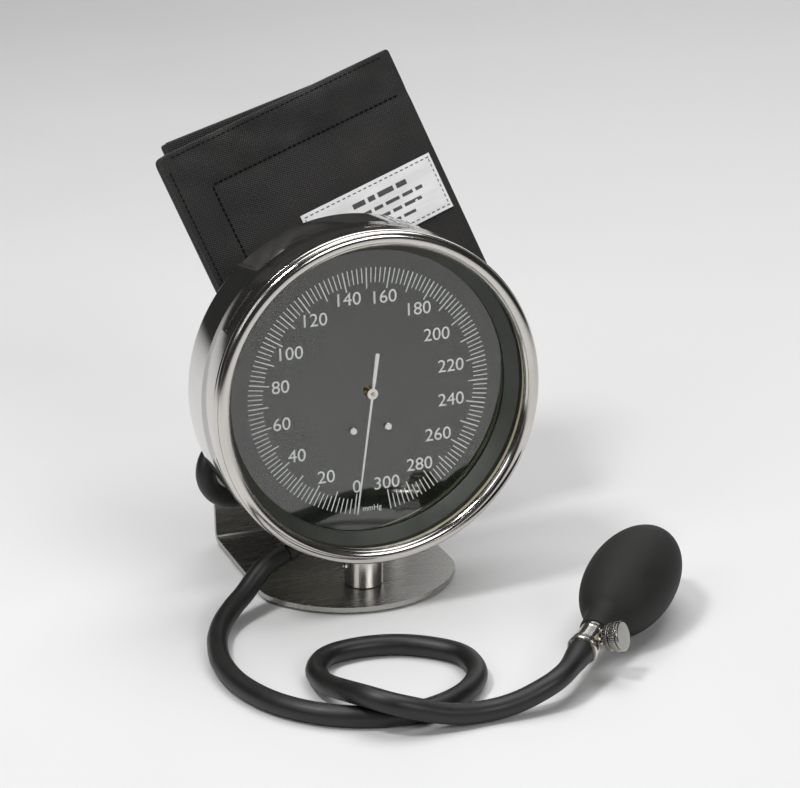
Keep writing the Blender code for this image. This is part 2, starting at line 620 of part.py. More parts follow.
def build_cuff():
    corner = arc((-30.2 * MM, 107.2 * MM), 5 * MM, pi, pi / 2, 5)
    front = [(97 * MM, 112.2 * MM), (97 * MM, -49.5 * MM), (-35.2 * MM, -49.5 * MM)] + corner
    fold = prism("cuff_front_fold", front, "XZ", 0, 11 * MM, CUFF)
    finish(soften(fold, 3 * MM), CLOTH)
    back = [(-24, -46), (94, -46), (96.4, 113), (-24.6, 117)]
    back = [(x * MM, z * MM) for x, z in back]
    fold = prism("cuff_back_fold", back, "XZ", 15.1 * MM, 25.6 * MM, CUFF)
    finish(soften(fold, 3 * MM), CLOTH)
    bladder = [(-14, -42), (88, -42), (88, 104), (-14, 104)]
    bladder = [(x * MM, z * MM) for x, z in bladder]
    bag = prism("cuff_bladder", bladder, "XZ", 11.3 * MM, 14.8 * MM, CUFF)
    finish(soften(bag, 1.2 * MM, 1), RUBBER)
    label = [(17.4, 27.2), (93, 27.2), (93, 56.7), (17.4, 56.7)]
    label = [(x * MM, z * MM) for x, z in label]
    finish(prism("cuff_label", label, "XZ", -0.9 * MM, -0.3 * MM, CUFF), WHITE, smooth=False)


# ---------------------------------------------------------------- bulb and valve

def build_bulb():
    def oval(radius, half_length, start, end, count):
        stations = [start + (end - start) * i / (count - 1) for i in range(count)]
        return [(radius * sqrt(1 - (s / half_length) ** 2), s) for s in stations]

    radius = BULB_RADIUS / MM
    half = BULB_HALF_LENGTH / MM
    wall = BULB_WALL / MM
    inner_half = half - wall
    outside = oval(radius, half, -41.2, 37.6, 14)
    neck = [(8.6, 39.6), (8.3, 41.5), (8.3, 49), (8.9, 49.6), (8.9, 51.4), (8.4, 51.9), (5.7, 51.9),
            (5.7, 38.2)]
    inside = oval(radius - wall, inner_half, 36.4, -38.2, 8)
    end = [(5.0, -38.8), (5.0, -41.6), (5.6, -42)]
    bulb = turned("bulb", outside + neck + inside + end, "Z", 26, closed=True, parent=VALVE)
    finish(bulb, RUBBER)

    profile = [(1.2, -43.9), (5.6, -43.9), (6, -43.5), (6, -42.6), (4.7, -42.3), (4.7, -33.5),
               (1.5, -33.5), (1.5, -35), (2.6, -35.4), (2.6, -39.6), (1.2, -40.8)]
    insert = turned("bulb_inlet_valve", profile, "Z", 24, closed=True, parent=VALVE)
    finish(insert, STEEL)
    ball = turned("inlet_ball", [(2 * sin(a * pi / 8), -38.8 - 2 * cos(a * pi / 8)) for a in range(9)],
                  "Z", 16, parent=VALVE)
    finish(ball, STEEL)


def build_valve():
    profile = [(0, 41), (5.3, 41), (5.3, 52.2), (6.4, 52.2), (6.6, 52.6), (6.6, 64.0), (7.1, 64.4),
               (7.3, 65), (7.3, 67.8), (6.8, 68.4), (5.2, 67.6), (0, 67.6)]
    body = turned("valve_body", profile, "Z", 24, parent=VALVE)
    knob_place = (0, 0, KNOB_STATION)
    combine(body, rod("needle_bore", 2.2, 0.4, 9, "X", 20, parent=VALVE, location=knob_place))
    finish(body, STEEL)
    profile = [(0, 67.9), (5.0, 67.9), (5.0, 69.0), (4.6, 69.4), (0, 69.4)]
    finish(turned("hose_barb", profile, "Z", 24, parent=VALVE), STEEL)
    gland = turned("valve_gland", [(2.2, 7.1), (4.4, 7.1), (4.4, 8.3), (3.6, 8.8), (2.2, 8.8)], "X", 24,
                   closed=True, parent=VALVE, location=knob_place)
    finish(gland, STEEL)
    needle = turned("valve_needle", [(0, 0.8), (0.5, 0.9), (1.8, 3.2), (1.8, 12.1), (0, 12.1)], "X", 20,
                    parent=VALVE, location=knob_place)
    finish(needle, BRASS)
    profile = [(0, 12.5), (2.1, 12.5), (2.1, 9.1), (5.4, 9.1), (6.3, 9.7), (6.3, 11.6), (5.5, 12.1),
               (6.0, 12.5), (7.0, 13.0), (7.0, 15.4), (6.3, 15.8), (6.9, 16.2), (6.9, 16.9),
               (6.4, 17.4), (0, 17.4)]
    knob = turned("valve_knob", profile, "X", 22, parent=VALVE, location=knob_place)
    finish(knob, STEEL)


# ---------------------------------------------------------------- frames and assembly

clear_scene()
HEAD = empty("head", None, HEAD_CENTRE, (-HEAD_LEAN, 0, 0))
ELBOW = empty("elbow", HEAD, (0, 17.6 * MM, 0), (0, pi + radians(23), 0))
CUFF_PLANE = empty("cuff_plane", None, CUFF_ORIGIN, (-CUFF_LEAN, 0, 0))
CUFF = empty("cuff", CUFF_PLANE, rotation=(0, -CUFF_TURN, 0))

toward_valve = -Vector((cos(BULB_TILT) * cos(BULB_AZIMUTH), cos(BULB_TILT) * sin(BULB_AZIMUTH),
                        sin(BULB_TILT)))
level = toward_valve.cross(AXES["Z"]).normalized()
knob_way = -level * cos(KNOB_ROLL) + level.cross(toward_valve) * sin(KNOB_ROLL)
across = toward_valve.cross(knob_way)
VALVE = empty("valve", None)
VALVE.matrix_world = Matrix.Translation(BULB_CENTRE) @ Matrix(
    (knob_way, across, toward_valve)).transposed().to_4x4()

build_stand()
build_tray()
build_case()
build_movement()
build_dial()
build_pointer()
build_crank()
build_capsule()
build_connections()
build_hoses()
build_cuff()
build_bulb()
build_valve()
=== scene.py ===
"""Looks of the large-dial blood pressure monitor, built around the fixed frame.

The gauge, its bezel, glass, dial print, pointer, pole, bulb, valve, hoses and cuff are drawn finer
than the frame's own bodies. Blender's unit is the metre. Profiles of turned pieces, routes and places
in the cuff's plane are written in millimetres.
"""

from math import atan2, cos, hypot, pi, radians, sin, tan

import bmesh
import bpy
from mathutils import Matrix, Vector, noise
from mathutils.bvhtree import BVHTree


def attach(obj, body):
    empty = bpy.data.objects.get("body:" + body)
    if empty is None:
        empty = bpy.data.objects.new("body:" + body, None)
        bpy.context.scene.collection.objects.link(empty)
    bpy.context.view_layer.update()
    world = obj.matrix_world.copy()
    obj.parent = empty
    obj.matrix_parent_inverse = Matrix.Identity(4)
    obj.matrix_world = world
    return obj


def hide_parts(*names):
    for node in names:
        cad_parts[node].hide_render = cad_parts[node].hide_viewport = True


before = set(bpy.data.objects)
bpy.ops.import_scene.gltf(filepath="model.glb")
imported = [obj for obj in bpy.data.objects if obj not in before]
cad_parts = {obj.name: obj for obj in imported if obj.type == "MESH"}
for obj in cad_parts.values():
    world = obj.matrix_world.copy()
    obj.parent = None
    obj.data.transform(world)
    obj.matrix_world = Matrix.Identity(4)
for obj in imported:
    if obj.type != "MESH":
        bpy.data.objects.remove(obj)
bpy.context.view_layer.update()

MM = 0.001
ROOT = "stand_and_gauge"

# The gauge head: the dial's front face is its x-z plane, and y points to the rear
HEAD_TILT = radians(-3.6)
HEAD = Matrix.Translation((0, -9.1 * MM, 105.2 * MM)) @ Matrix.Rotation(HEAD_TILT, 4, "X")
# The bulb hose's elbow leaves the case down and to the left, along this frame's z axis
ELBOW_TURN = pi + radians(23)
ELBOW = HEAD @ Matrix.Translation((0, 17.6 * MM, 0)) @ Matrix.Rotation(ELBOW_TURN, 4, "Y")
# The cuff hose's nipple is in the case's back
CUFF_NIPPLE = Vector((-40 * MM, 33 * MM, -22 * MM))
# The pointer's whole turn over the scale
SWEEP = radians(342.1)

# The cuff: its front face is its x-z plane, leaning back and turned in that plane
CUFF_LEAN = radians(-20)
CUFF_TURN = radians(-19.1)
CUFF = (Matrix.Translation((0, 62 * MM, 110 * MM)) @ Matrix.Rotation(CUFF_LEAN, 4, "X")
        @ Matrix.Rotation(CUFF_TURN, 4, "Y"))

# The bulb: its centre, where its axis points, and how far the release knob is rolled round that axis
BULB_CENTRE = (103.5 * MM, -81.6 * MM, 21.6 * MM)
BULB_AZIMUTH = radians(45.3)
BULB_TILT = radians(5)
KNOB_ROLL = radians(18.5)


def valve_frame():
    """The bulb's frame: z runs from its centre to the valve, x along the release knob."""
    toward = -Vector((cos(BULB_TILT) * cos(BULB_AZIMUTH), cos(BULB_TILT) * sin(BULB_AZIMUTH),
                      sin(BULB_TILT)))
    level = toward.cross(Vector((0, 0, 1))).normalized()
    knob = -level * cos(KNOB_ROLL) + level.cross(toward) * sin(KNOB_ROLL)
    turn = Matrix((knob, toward.cross(knob), toward)).transposed().to_4x4()
    return Matrix.Translation(BULB_CENTRE) @ turn


VALVE = valve_frame()
KNOB_HEIGHT = 58.5 * MM
KNOB = VALVE @ Matrix.Translation((0, 0, KNOB_HEIGHT))


# ---------------------------------------------------------------- camera

CAMERA_SPOT = (-0.4121, -1.1038, 0.5372)
CAMERA_AZIMUTH = radians(-21.33)
CAMERA_ELEVATION = radians(20.32)
FOCAL_LENGTH_MM = 119.61


def place_camera():
    """A long lens, a little above the gauge and to its left, held level."""
    data = bpy.data.cameras.new("photo_camera")
    camera = bpy.data.objects.new("photo_camera", data)
    bpy.context.scene.collection.objects.link(camera)
    level = cos(CAMERA_ELEVATION)
    back = Vector((sin(CAMERA_AZIMUTH) * level, -cos(CAMERA_AZIMUTH) * level, sin(CAMERA_ELEVATION)))
    right = Vector((cos(CAMERA_AZIMUTH), sin(CAMERA_AZIMUTH), 0))
    turn = Matrix((right, back.cross(right), back)).transposed().to_4x4()
    camera.matrix_world = Matrix.Translation(CAMERA_SPOT) @ turn
    data.sensor_width = 36
    data.sensor_fit = "HORIZONTAL"
    data.lens = FOCAL_LENGTH_MM
    data.clip_start = 0.01
    data.clip_end = 50
    bpy.context.scene.camera = camera


# ---------------------------------------------------------------- cords

HOSE_DIAMETER = 9.8 * MM
SWELL_LENGTH = 16 * MM
# From the elbow under the gauge, over one loop, to the valve
BULB_HOSE_ROUTE = [
    (-39.7, 1.75, 24.5), (-45.2, 0, 22.9), (-50.7, -1.8, 21), (-57, -5, 16.8), (-64, -9.6, 12),
    (-71.5, -15, 8.6), (-80, -25, 6), (-87, -40, 5), (-92, -62, 5), (-91, -85, 5), (-83, -107, 5),
    (-69, -124, 5), (-51, -135, 5), (-31, -139.5, 5), (-13, -136, 5), (2, -127, 5), (12, -113, 5),
    (13, -95, 5), (3, -82, 5), (-12, -73, 5), (-29, -70, 5), (-45, -73, 5), (-54.5, -84, 5),
    (-56.8, -99, 6.4), (-56, -112, 9.5), (-53.8, -125, 13), (-49.6, -137, 15.4), (-42, -145, 14.6),
    (-33, -148.4, 12.2), (-23, -149.5, 8.8), (-13, -150, 6.4), (-3, -149.6, 5.2), (7, -149.6, 5.3),
    (17, -150, 7.2), (27, -149.4, 10.2), (35.6, -147.4, 12.8), (43.8, -141.9, 14.3),
    (54.7, -130.9, 15.5),
]
# From the nipple in the gauge's back to the cuff's left edge
CUFF_HOSE_ROUTE = [
    (-40, 28.2, 80.8), (-40.2, 34.5, 80.3), (-44, 40, 77.8), (-51.4, 43, 73.4), (-59, 42.6, 67.8),
    (-64.8, 40.4, 61.6), (-66.6, 38.9, 54.4), (-64.2, 38.6, 47.2), (-58.4, 38.9, 42.2), (-51, 40.6, 40.9),
    (-44.4, 44, 43.8), (-41, 48.4, 49.4), (-40.2, 53, 56), (-41, 57.4, 62.8), (-41.4, 61.2, 69.4),
    (-39.4, 63.4, 75.4), (-35.2, 64.7, 79.2), (-29.8, 65.4, 80.9),
]


ROUTE_STEPS = 20


def smooth_route(points, spacing):
    """Points at an even spacing along a smooth curve through the route's own points."""
    route = [Vector(p) * MM for p in points]
    route = [route[0] * 2 - route[1]] + route + [route[-1] * 2 - route[-2]]
    fine = []
    for p0, p1, p2, p3 in zip(route, route[1:], route[2:], route[3:]):
        for step in range(ROUTE_STEPS):
            t = step / ROUTE_STEPS
            fine.append(0.5 * (2 * p1 + (p2 - p0) * t + (2 * p0 - 5 * p1 + 4 * p2 - p3) * t ** 2
                               + (3 * p1 - p0 - 3 * p2 + p3) * t ** 3))
    fine.append(route[-2])
    lengths = [0.0]
    for a, b in zip(fine, fine[1:]):
        lengths.append(lengths[-1] + (b - a).length)
    count = round(lengths[-1] / spacing)
    spaced = []
    index = 0
    for k in range(count + 1):
        wanted = lengths[-1] * k / count
        while index + 2 < len(fine) and lengths[index + 1] < wanted:
            index += 1
        part = (wanted - lengths[index]) / (lengths[index + 1] - lengths[index])
        spaced.append(fine[index].lerp(fine[index + 1], part))
    return spaced


def hose(name, route, spacing, node, swell=0.0):
    """A rubber hose along a route. Its far end may swell over the fitting that it is pushed on."""
    points = smooth_route(route, spacing)
    curve = bpy.data.curves.new(name, "CURVE")
    curve.dimensions = "3D"
    curve.bevel_depth = 1.0
    curve.bevel_resolution = 7
    curve.use_fill_caps = True
    spline = curve.splines.new("POLY")
    spline.points.add(len(points) - 1)
    for i, point in enumerate(points):
        left = (len(points) - 1 - i) * spacing
        rise = max(0.0, 1 - left / SWELL_LENGTH)
        spline.points[i].co = (*point, 1)
        spline.points[i].radius = HOSE_DIAMETER / 2 * (1 + swell * rise * rise * (3 - 2 * rise))
    spline.use_smooth = True
    obj = bpy.data.objects.new(name, curve)
    bpy.context.scene.collection.objects.link(obj)
    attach(obj, ROOT)
    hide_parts(node)
    return obj


place_camera()
bulb_hose = hose("bulb_hose_tube", BULB_HOSE_ROUTE, 2.4 * MM, "bulb_hose", 0.24)
cuff_hose = hose("cuff_hose_tube", CUFF_HOSE_ROUTE, 2.0 * MM, "cuff_hose")


# ---------------------------------------------------------------- materials

def node(tree, kind, **inputs):
    """A new node with values for its named inputs. An underscore stands for a space."""
    made = tree.nodes.new(kind)
    for key, value in inputs.items():
        made.inputs[key.replace("_", " ")].default_value = value
    return made


def grain(tree, scale, detail=4.0, stretch=(1, 1, 1)):
    """Noise over the piece, stretched along its own axes."""
    place = tree.nodes.new("ShaderNodeTexCoord")
    mapping = node(tree, "ShaderNodeMapping", Scale=stretch)
    speckle = node(tree, "ShaderNodeTexNoise", Scale=scale, Detail=detail, Roughness=0.6)
    tree.links.new(place.outputs["Object"], mapping.inputs["Vector"])
    tree.links.new(mapping.outputs["Vector"], speckle.inputs["Vector"])
    return speckle.outputs["Fac"]


def bands(tree, pitch, angle, wander):
    """Bands in the piece's x-z plane, with the pitch in metres. They wander a little from straight."""
    place = tree.nodes.new("ShaderNodeTexCoord")
    mapping = node(tree, "ShaderNodeMapping", Rotation=(0, angle, 0))
    wave = node(tree, "ShaderNodeTexWave", Scale=2 * pi / 20 / pitch, Distortion=wander, Detail=2.0,
                Detail_Scale=1.5)
    wave.bands_direction = "X"
    tree.links.new(place.outputs["Object"], mapping.inputs["Vector"])
    tree.links.new(mapping.outputs["Vector"], wave.inputs["Vector"])
    return wave.outputs["Fac"]


def spread(tree, source, low, high, start=0.3, end=0.7):
    """The source, stretched from between start and end to between low and high."""
    fit = node(tree, "ShaderNodeMapRange", From_Min=start, From_Max=end, To_Min=low, To_Max=high)
    tree.links.new(source, fit.inputs["Value"])
    return fit.outputs["Result"]


def blend_colours(tree, source, low, high):
    mix = tree.nodes.new("ShaderNodeMix")
    mix.data_type = "RGBA"
    mix.inputs[6].default_value = (*low, 1)
    mix.inputs[7].default_value = (*high, 1)
    tree.links.new(source, mix.inputs[0])
    return mix.outputs[2]


def multiply(tree, a, b):
    product = tree.nodes.new("ShaderNodeMath")
    product.operation = "MULTIPLY"
    tree.links.new(a, product.inputs[0])
    tree.links.new(b, product.inputs[1])
    return product.outputs[0]


def relief(tree, shader, height, strength, distance):
    """Bump on a shader. The distance is in metres."""
    bump = node(tree, "ShaderNodeBump", Strength=strength, Distance=distance)
    tree.links.new(height, bump.inputs["Height"])
    tree.links.new(bump.outputs["Normal"], shader.inputs["Normal"])


def new_material(name):
    """A material, with its node tree and its shader."""
    material = bpy.data.materials.new(name)
    material.use_nodes = True
    tree = material.node_tree
    return material, tree, tree.nodes["Principled BSDF"]


def surface(name, low, high, rough, scale=60, stretch=(1, 1, 1), metallic=0.0, ior=1.5,
            bump=0.05, bump_scale=900, sheen=0.0):
    """A finish whose colour and roughness drift between two limits over the piece."""
    material, tree, shader = new_material(name)
    shader.inputs["Metallic"].default_value = metallic
    shader.inputs["IOR"].default_value = ior
    shader.inputs["Sheen Weight"].default_value = sheen
    drift = grain(tree, scale, 4.0, stretch)
    even = spread(tree, drift, 0, 1)
    tree.links.new(blend_colours(tree, even, low, high), shader.inputs["Base Color"])
    tree.links.new(spread(tree, drift, *rough), shader.inputs["Roughness"])
    if bump:
        relief(tree, shader, grain(tree, bump_scale, 3.0, stretch), bump, 0.1 * MM)
    return material


def cloth(name):
    """Black nylon twill: fine diagonal ribs crossed by threads, with large patches of painted shade and
    painted sheen.
    """
    material, tree, shader = new_material(name)
    ribs = bands(tree, 1.0 * MM, radians(50), 1.0)
    threads = bands(tree, 1.1 * MM, radians(-38), 0.8)
    weave = multiply(tree, spread(tree, ribs, 0.35, 1, 0, 1), spread(tree, threads, 0.45, 1, 0, 1))
    # Large random patches: partly the cloth's own uneven tone, partly painted shade of creases and painted
    # sheen
    drift = spread(tree, grain(tree, 38), 0.3, 1.35)
    tone = multiply(tree, weave, drift)
    tree.links.new(blend_colours(tree, tone, (0.0003, 0.0002, 0.0002), (0.0225, 0.0197, 0.0180)),
                   shader.inputs["Base Color"])
    tree.links.new(spread(tree, weave, 0.66, 0.42, 0, 1), shader.inputs["Roughness"])
    shader.inputs["Sheen Weight"].default_value = 0.05
    shader.inputs["Sheen Roughness"].default_value = 0.45
    relief(tree, shader, weave, 0.8, 0.3 * MM)
    return material


def glass(name):
    """Clear flat glass: light passes, and about one part in a hundred meets a dark mirror."""
    material, tree, shader = new_material(name)
    shader.inputs["Metallic"].default_value = 1.0
    drift = grain(tree, 14, 3.0)
    tint = blend_colours(tree, drift, (0.07, 0.072, 0.068), (0.09, 0.092, 0.088))
    tree.links.new(tint, shader.inputs["Base Color"])
    tree.links.new(spread(tree, drift, 0.012, 0.03), shader.inputs["Roughness"])
    tree.links.new(spread(tree, drift, 0.009, 0.013), shader.inputs["Alpha"])
    return material


POLISHED = surface("polished_steel", (0.66, 0.65, 0.63), (0.74, 0.73, 0.71), (0.05, 0.11), 35,
                   metallic=1.0, bump=0.02, bump_scale=260)
BEZEL = surface("bezel_steel", (0.57, 0.55, 0.52), (0.67, 0.65, 0.61), (0.10, 0.17), 30,
                metallic=1.0, bump=0.03, bump_scale=400)
NICKEL = surface("satin_nickel", (0.64, 0.62, 0.58), (0.74, 0.72, 0.68), (0.16, 0.25), 120, metallic=1.0,
                 bump=0.03, bump_scale=700)
# The knob's nickel is the valve's nickel painted darker: painted shade for the darker reflections on the
# knob
SHADED_KNOB_NICKEL = surface("knob_nickel_painted_shade", (0.33, 0.32, 0.30), (0.43, 0.42, 0.39), (0.18, 0.27), 120,
                      metallic=1.0, bump=0.03, bump_scale=700)
BRUSHED = surface("brushed_plate", (0.41, 0.405, 0.38), (0.46, 0.455, 0.43), (0.24, 0.29), 700,
                  (0.04, 1, 1), metallic=1.0, bump=0.035, bump_scale=1500)
BRUSHED_POLE = surface("brushed_pole", (0.68, 0.66, 0.62), (0.88, 0.86, 0.81), (0.24, 0.36), 600,
                       (1, 1, 0.03), metallic=1.0, bump=0.12, bump_scale=1600)
TRAY = surface("tray_steel", (0.5, 0.49, 0.46), (0.64, 0.63, 0.6), (0.30, 0.4), 300, (0.05, 1, 1),
               metallic=1.0, bump=0.1, bump_scale=1500)
BRASS = surface("brass", (0.56, 0.40, 0.17), (0.72, 0.54, 0.26), (0.22, 0.36), 220, metallic=1.0)
SPRING = surface("spring_bronze", (0.45, 0.30, 0.16), (0.6, 0.42, 0.24), (0.25, 0.35), 300, metallic=1.0)
DIAL = surface("dial_paint", (0.0110, 0.0150, 0.0086), (0.0130, 0.0175, 0.0102), (0.03, 0.045), 45,
               ior=1.97, bump=0.0)
SPACER = surface("spacer_paint", (0.045, 0.050, 0.041), (0.058, 0.064, 0.053), (0.34, 0.44), 60,
                 ior=1.5, bump=0.0)
PRINT = surface("white_print", (0.88, 0.89, 0.86), (0.95, 0.96, 0.93), (0.4, 0.5), 300, bump=0.02)
POINTER = surface("pointer_enamel", (0.86, 0.86, 0.83), (0.95, 0.95, 0.92), (0.3, 0.4), 200, bump=0.02)
CREAM = surface("gasket_rubber", (0.50, 0.46, 0.31), (0.60, 0.56, 0.40), (0.5, 0.62), 120, bump=0.05)
HOSE_RUBBER = surface("hose_rubber", (0.0075, 0.0075, 0.0073), (0.013, 0.013, 0.0125), (0.38, 0.5), 90,
                      bump=0.05, bump_scale=1200)
BULB_RUBBER = surface("bulb_rubber", (0.014, 0.0135, 0.0128), (0.022, 0.0213, 0.0203), (0.62, 0.74), 70,
                      ior=1.36, bump=0.06, bump_scale=1300)
PLASTIC = surface("black_plastic", (0.008, 0.008, 0.008), (0.014, 0.014, 0.014), (0.2, 0.3), 150,
                  bump=0.02)
PAD = surface("pad_rubber", (0.16, 0.16, 0.155), (0.22, 0.22, 0.21), (0.7, 0.85), 140, bump=0.2)
SATIN = surface("label_satin", (0.80, 0.80, 0.80), (0.92, 0.92, 0.92), (0.34, 0.5), 500, (0.08, 1, 1),
                bump=0.2, bump_scale=1500, sheen=0.1)
INK = surface("label_ink", (0.05, 0.05, 0.055), (0.09, 0.09, 0.095), (0.5, 0.6), 400, bump=0.02)
THREAD = surface("black_thread", (0.0006, 0.0006, 0.0006), (0.0025, 0.0024, 0.0024), (0.75, 0.85), 900,
                 ior=1.25, bump=0.05)
GLASS = glass("window_glass")
CLOTH = cloth("nylon_cloth")


# ---------------------------------------------------------------- shapes

def add_object(name, mesh, place, body, look, sharp=32):
    """A finished piece that rides on a body. Edges over the sharp angle, in degrees, stay crisp."""
    obj = bpy.data.objects.new(name, mesh)
    bpy.context.scene.collection.objects.link(obj)
    # These two frames lie askew, so they go into the mesh, which keeps the piece's own box tight
    if place is VALVE or place is KNOB:
        mesh.transform(place)
    else:
        obj.matrix_world = place
    mesh.materials.clear()
    mesh.materials.append(look)
    mesh.shade_smooth()
    mesh.set_sharp_from_angle(angle=radians(sharp))
    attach(obj, body)
    return obj


FILLET_STEPS = 4
NEARLY_STRAIGHT = radians(158)


def fillet(points, radius, closed=False):
    """Round the corners of a profile, except those that are nearly straight."""
    rounded = []
    count = len(points)
    for i, point in enumerate(points):
        here = Vector(point)
        if not closed and i in (0, count - 1):
            rounded.append(tuple(here))
            continue
        back = Vector(points[i - 1]) - here
        ahead = Vector(points[(i + 1) % count]) - here
        angle = back.angle(ahead)
        if angle > NEARLY_STRAIGHT or radius <= 0:
            rounded.append(tuple(here))
            continue
        reach = min(radius / tan(angle / 2), 0.45 * back.length, 0.45 * ahead.length)
        start = here + back.normalized() * reach
        end = here + ahead.normalized() * reach
        for k in range(FILLET_STEPS + 1):
            t = k / FILLET_STEPS
            rounded.append(tuple(start * (1 - t) ** 2 + here * 2 * t * (1 - t) + end * t ** 2))
    return rounded


def spin(profile, axis, steps, closed):
    """A bmesh of a turned body from (radius, distance along the axis) in millimetres."""
    bm = bmesh.new()
    directions = {"X": (1, 0, 0), "Y": (0, 1, 0), "Z": (0, 0, 1)}
    verts = []
    for r, d in profile:
        spot = {"X": (d, 0, r), "Y": (r, d, 0), "Z": (r, 0, d)}[axis]
        verts.append(bm.verts.new(Vector(spot) * MM))
    edges = [bm.edges.new(pair) for pair in zip(verts, verts[1:])]
    if closed:
        edges.append(bm.edges.new((verts[-1], verts[0])))
    bmesh.ops.spin(bm, geom=verts + edges, cent=(0, 0, 0), axis=directions[axis], angle=2 * pi,
                   steps=steps, use_merge=True)
    bmesh.ops.remove_doubles(bm, verts=bm.verts, dist=1e-7)
    bmesh.ops.recalc_face_normals(bm, faces=bm.faces)
    return bm


def to_mesh(name, bm):
    mesh = bpy.data.meshes.new(name)
    bm.to_mesh(mesh)
    bm.free()
    return mesh


def lathe(name, profile, axis, steps, place, look, closed=False, corner=0.3, sharp=32):
    """A turned piece of the fixed body, with its profile's corners rounded."""
    bm = spin(fillet(profile, corner, closed), axis, steps, closed)
    return add_object(name, to_mesh(name, bm), place, ROOT, look, sharp)


def cutter(bm, place):
    """A tool for one cut, which removes it."""
    obj = bpy.data.objects.new("cutter", to_mesh("cutter", bm))
    bpy.context.scene.collection.objects.link(obj)
    obj.matrix_world = place
    return obj


def cut(target, tool):
    """Take a tool's shape away from a piece for good."""
    modifier = target.modifiers.new("cut", "BOOLEAN")
    modifier.operation = "DIFFERENCE"
    modifier.solver = "EXACT"
    modifier.object = tool
    bpy.context.view_layer.update()
    graph = bpy.context.evaluated_depsgraph_get()
    mesh = bpy.data.meshes.new_from_object(target.evaluated_get(graph))
    target.modifiers.clear()
    target.data = mesh
    bpy.data.objects.remove(tool, do_unlink=True)


def drill(radius, low, high, axis="Z", steps=48):
    """A round cutter between two distances along its axis, in millimetres."""
    return spin([(0, low), (radius, low), (radius, high), (0, high)], axis, steps, False)


def arc(centre, radius, start, end, count):
    """Points along an arc, counted with both its ends."""
    steps = [start + (end - start) * i / (count - 1) for i in range(count)]
    return [(centre[0] + radius * cos(a), centre[1] + radius * sin(a)) for a in steps]


def slab(outline, front, rear):
    """A flat body from an outline in x and z, between two values of y. Everything in metres."""
    bm = bmesh.new()
    face = bm.faces.new([bm.verts.new((x, front, z)) for x, z in outline])
    grown = bmesh.ops.extrude_face_region(bm, geom=[face])
    moved = [item for item in grown["geom"] if isinstance(item, bmesh.types.BMVert)]
    bmesh.ops.translate(bm, verts=moved, vec=(0, rear - front, 0))
    bmesh.ops.recalc_face_normals(bm, faces=bm.faces)
    return bm


def bevel(obj, width, segments=2, limit=40):
    """Round the edges that turn more than the limit, in degrees."""
    modifier = obj.modifiers.new("bevel", "BEVEL")
    modifier.width = width
    modifier.segments = segments
    modifier.limit_method = "ANGLE"
    modifier.angle_limit = radians(limit)
    modifier.harden_normals = True


# ---------------------------------------------------------------- gauge

CASE_RADIUS = 79.0
CASE_WALL = 1.5
CASE_CORNER = 2.4
CASE_FRONT = -4
CASE_REAR = 33.4


def build_case():
    """A drawn cup with holes for the stem, the elbow and the rear nipple."""
    centre = (CASE_RADIUS - CASE_CORNER, CASE_REAR - CASE_CORNER)
    outside = arc(centre, CASE_CORNER, pi / 2, 0, 10)
    inside = arc(centre, CASE_CORNER - CASE_WALL, 0, pi / 2, 8)
    lip = [(CASE_RADIUS, CASE_FRONT), (CASE_RADIUS - CASE_WALL, CASE_FRONT)]
    profile = [(0, CASE_REAR)] + outside + lip + inside + [(0, CASE_REAR - CASE_WALL)]
    case = lathe("case_shell", profile, "Y", 192, HEAD, POLISHED, corner=0.2)
    cut(case, cutter(drill(6.1, -90, -60), HEAD @ Matrix.Translation((0, 14 * MM, 0))))
    cut(case, cutter(drill(4.6, 60, 90), ELBOW))
    cut(case, cutter(drill(4.6, -6, 6, "Y"), HEAD @ Matrix.Translation(CUFF_NIPPLE)))
    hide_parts("case_body")


# The bezel's bead, as a section: an oval with grooves between these angles, in degrees
BEAD_CENTRE = (76.75, -13.8)
BEAD_HALF_WIDTH = 3.65
BEAD_HALF_DEPTH = 3.1
GROOVE_DEPTH = 0.1
GROOVES = ((126, 131), (38, 43))


def bezel_profile():
    """Section of the bezel: a rolled bead with two fine grooves, a skirt and the window's seat."""
    profile = [(73.1, -13.2)]
    for angle in range(176, -42, -2):
        grooved = any(low < angle < high for low, high in GROOVES)
        depth = 1 - GROOVE_DEPTH if grooved else 1.0
        turn = radians(angle)
        profile.append((BEAD_CENTRE[0] + BEAD_HALF_WIDTH * depth * cos(turn),
                        BEAD_CENTRE[1] - BEAD_HALF_DEPTH * depth * sin(turn)))
    profile += [(79.7, -10.9), (80.0, -10.5), (80.0, 7.5), (79.8, 7.9), (79.5, 8.0), (79.3, 7.8),
                (79.3, -4.4), (76.5, -4.4), (76.5, -13.2)]
    return profile


# Bayonet slots: how many, the first one's middle and half of one's length, in degrees
SLOTS = 6
SLOT_START = 7
SLOT_HALF_ANGLE = 7.8


def build_bezel():
    """The bezel, with bayonet slots through its skirt."""
    bezel = lathe("bezel", bezel_profile(), "Y", 216, HEAD, BEZEL, closed=True, corner=0)
    ends = radians(SLOT_HALF_ANGLE)
    for turn in range(SLOTS):
        place = HEAD @ Matrix.Rotation(radians(SLOT_START + 360 / SLOTS * turn), 4, "Y")
        outline = arc((0, 0), 79.1 * MM, pi / 2 - ends, pi / 2 + ends, 13)
        outline += arc((0, 0), 82 * MM, pi / 2 + ends, pi / 2 - ends, 13)
        cut(bezel, cutter(slab(outline, -4.3 * MM, -2.5 * MM), place))
    bevel(bezel, 0.16 * MM, 2, 50)
    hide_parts("bezel_ring")


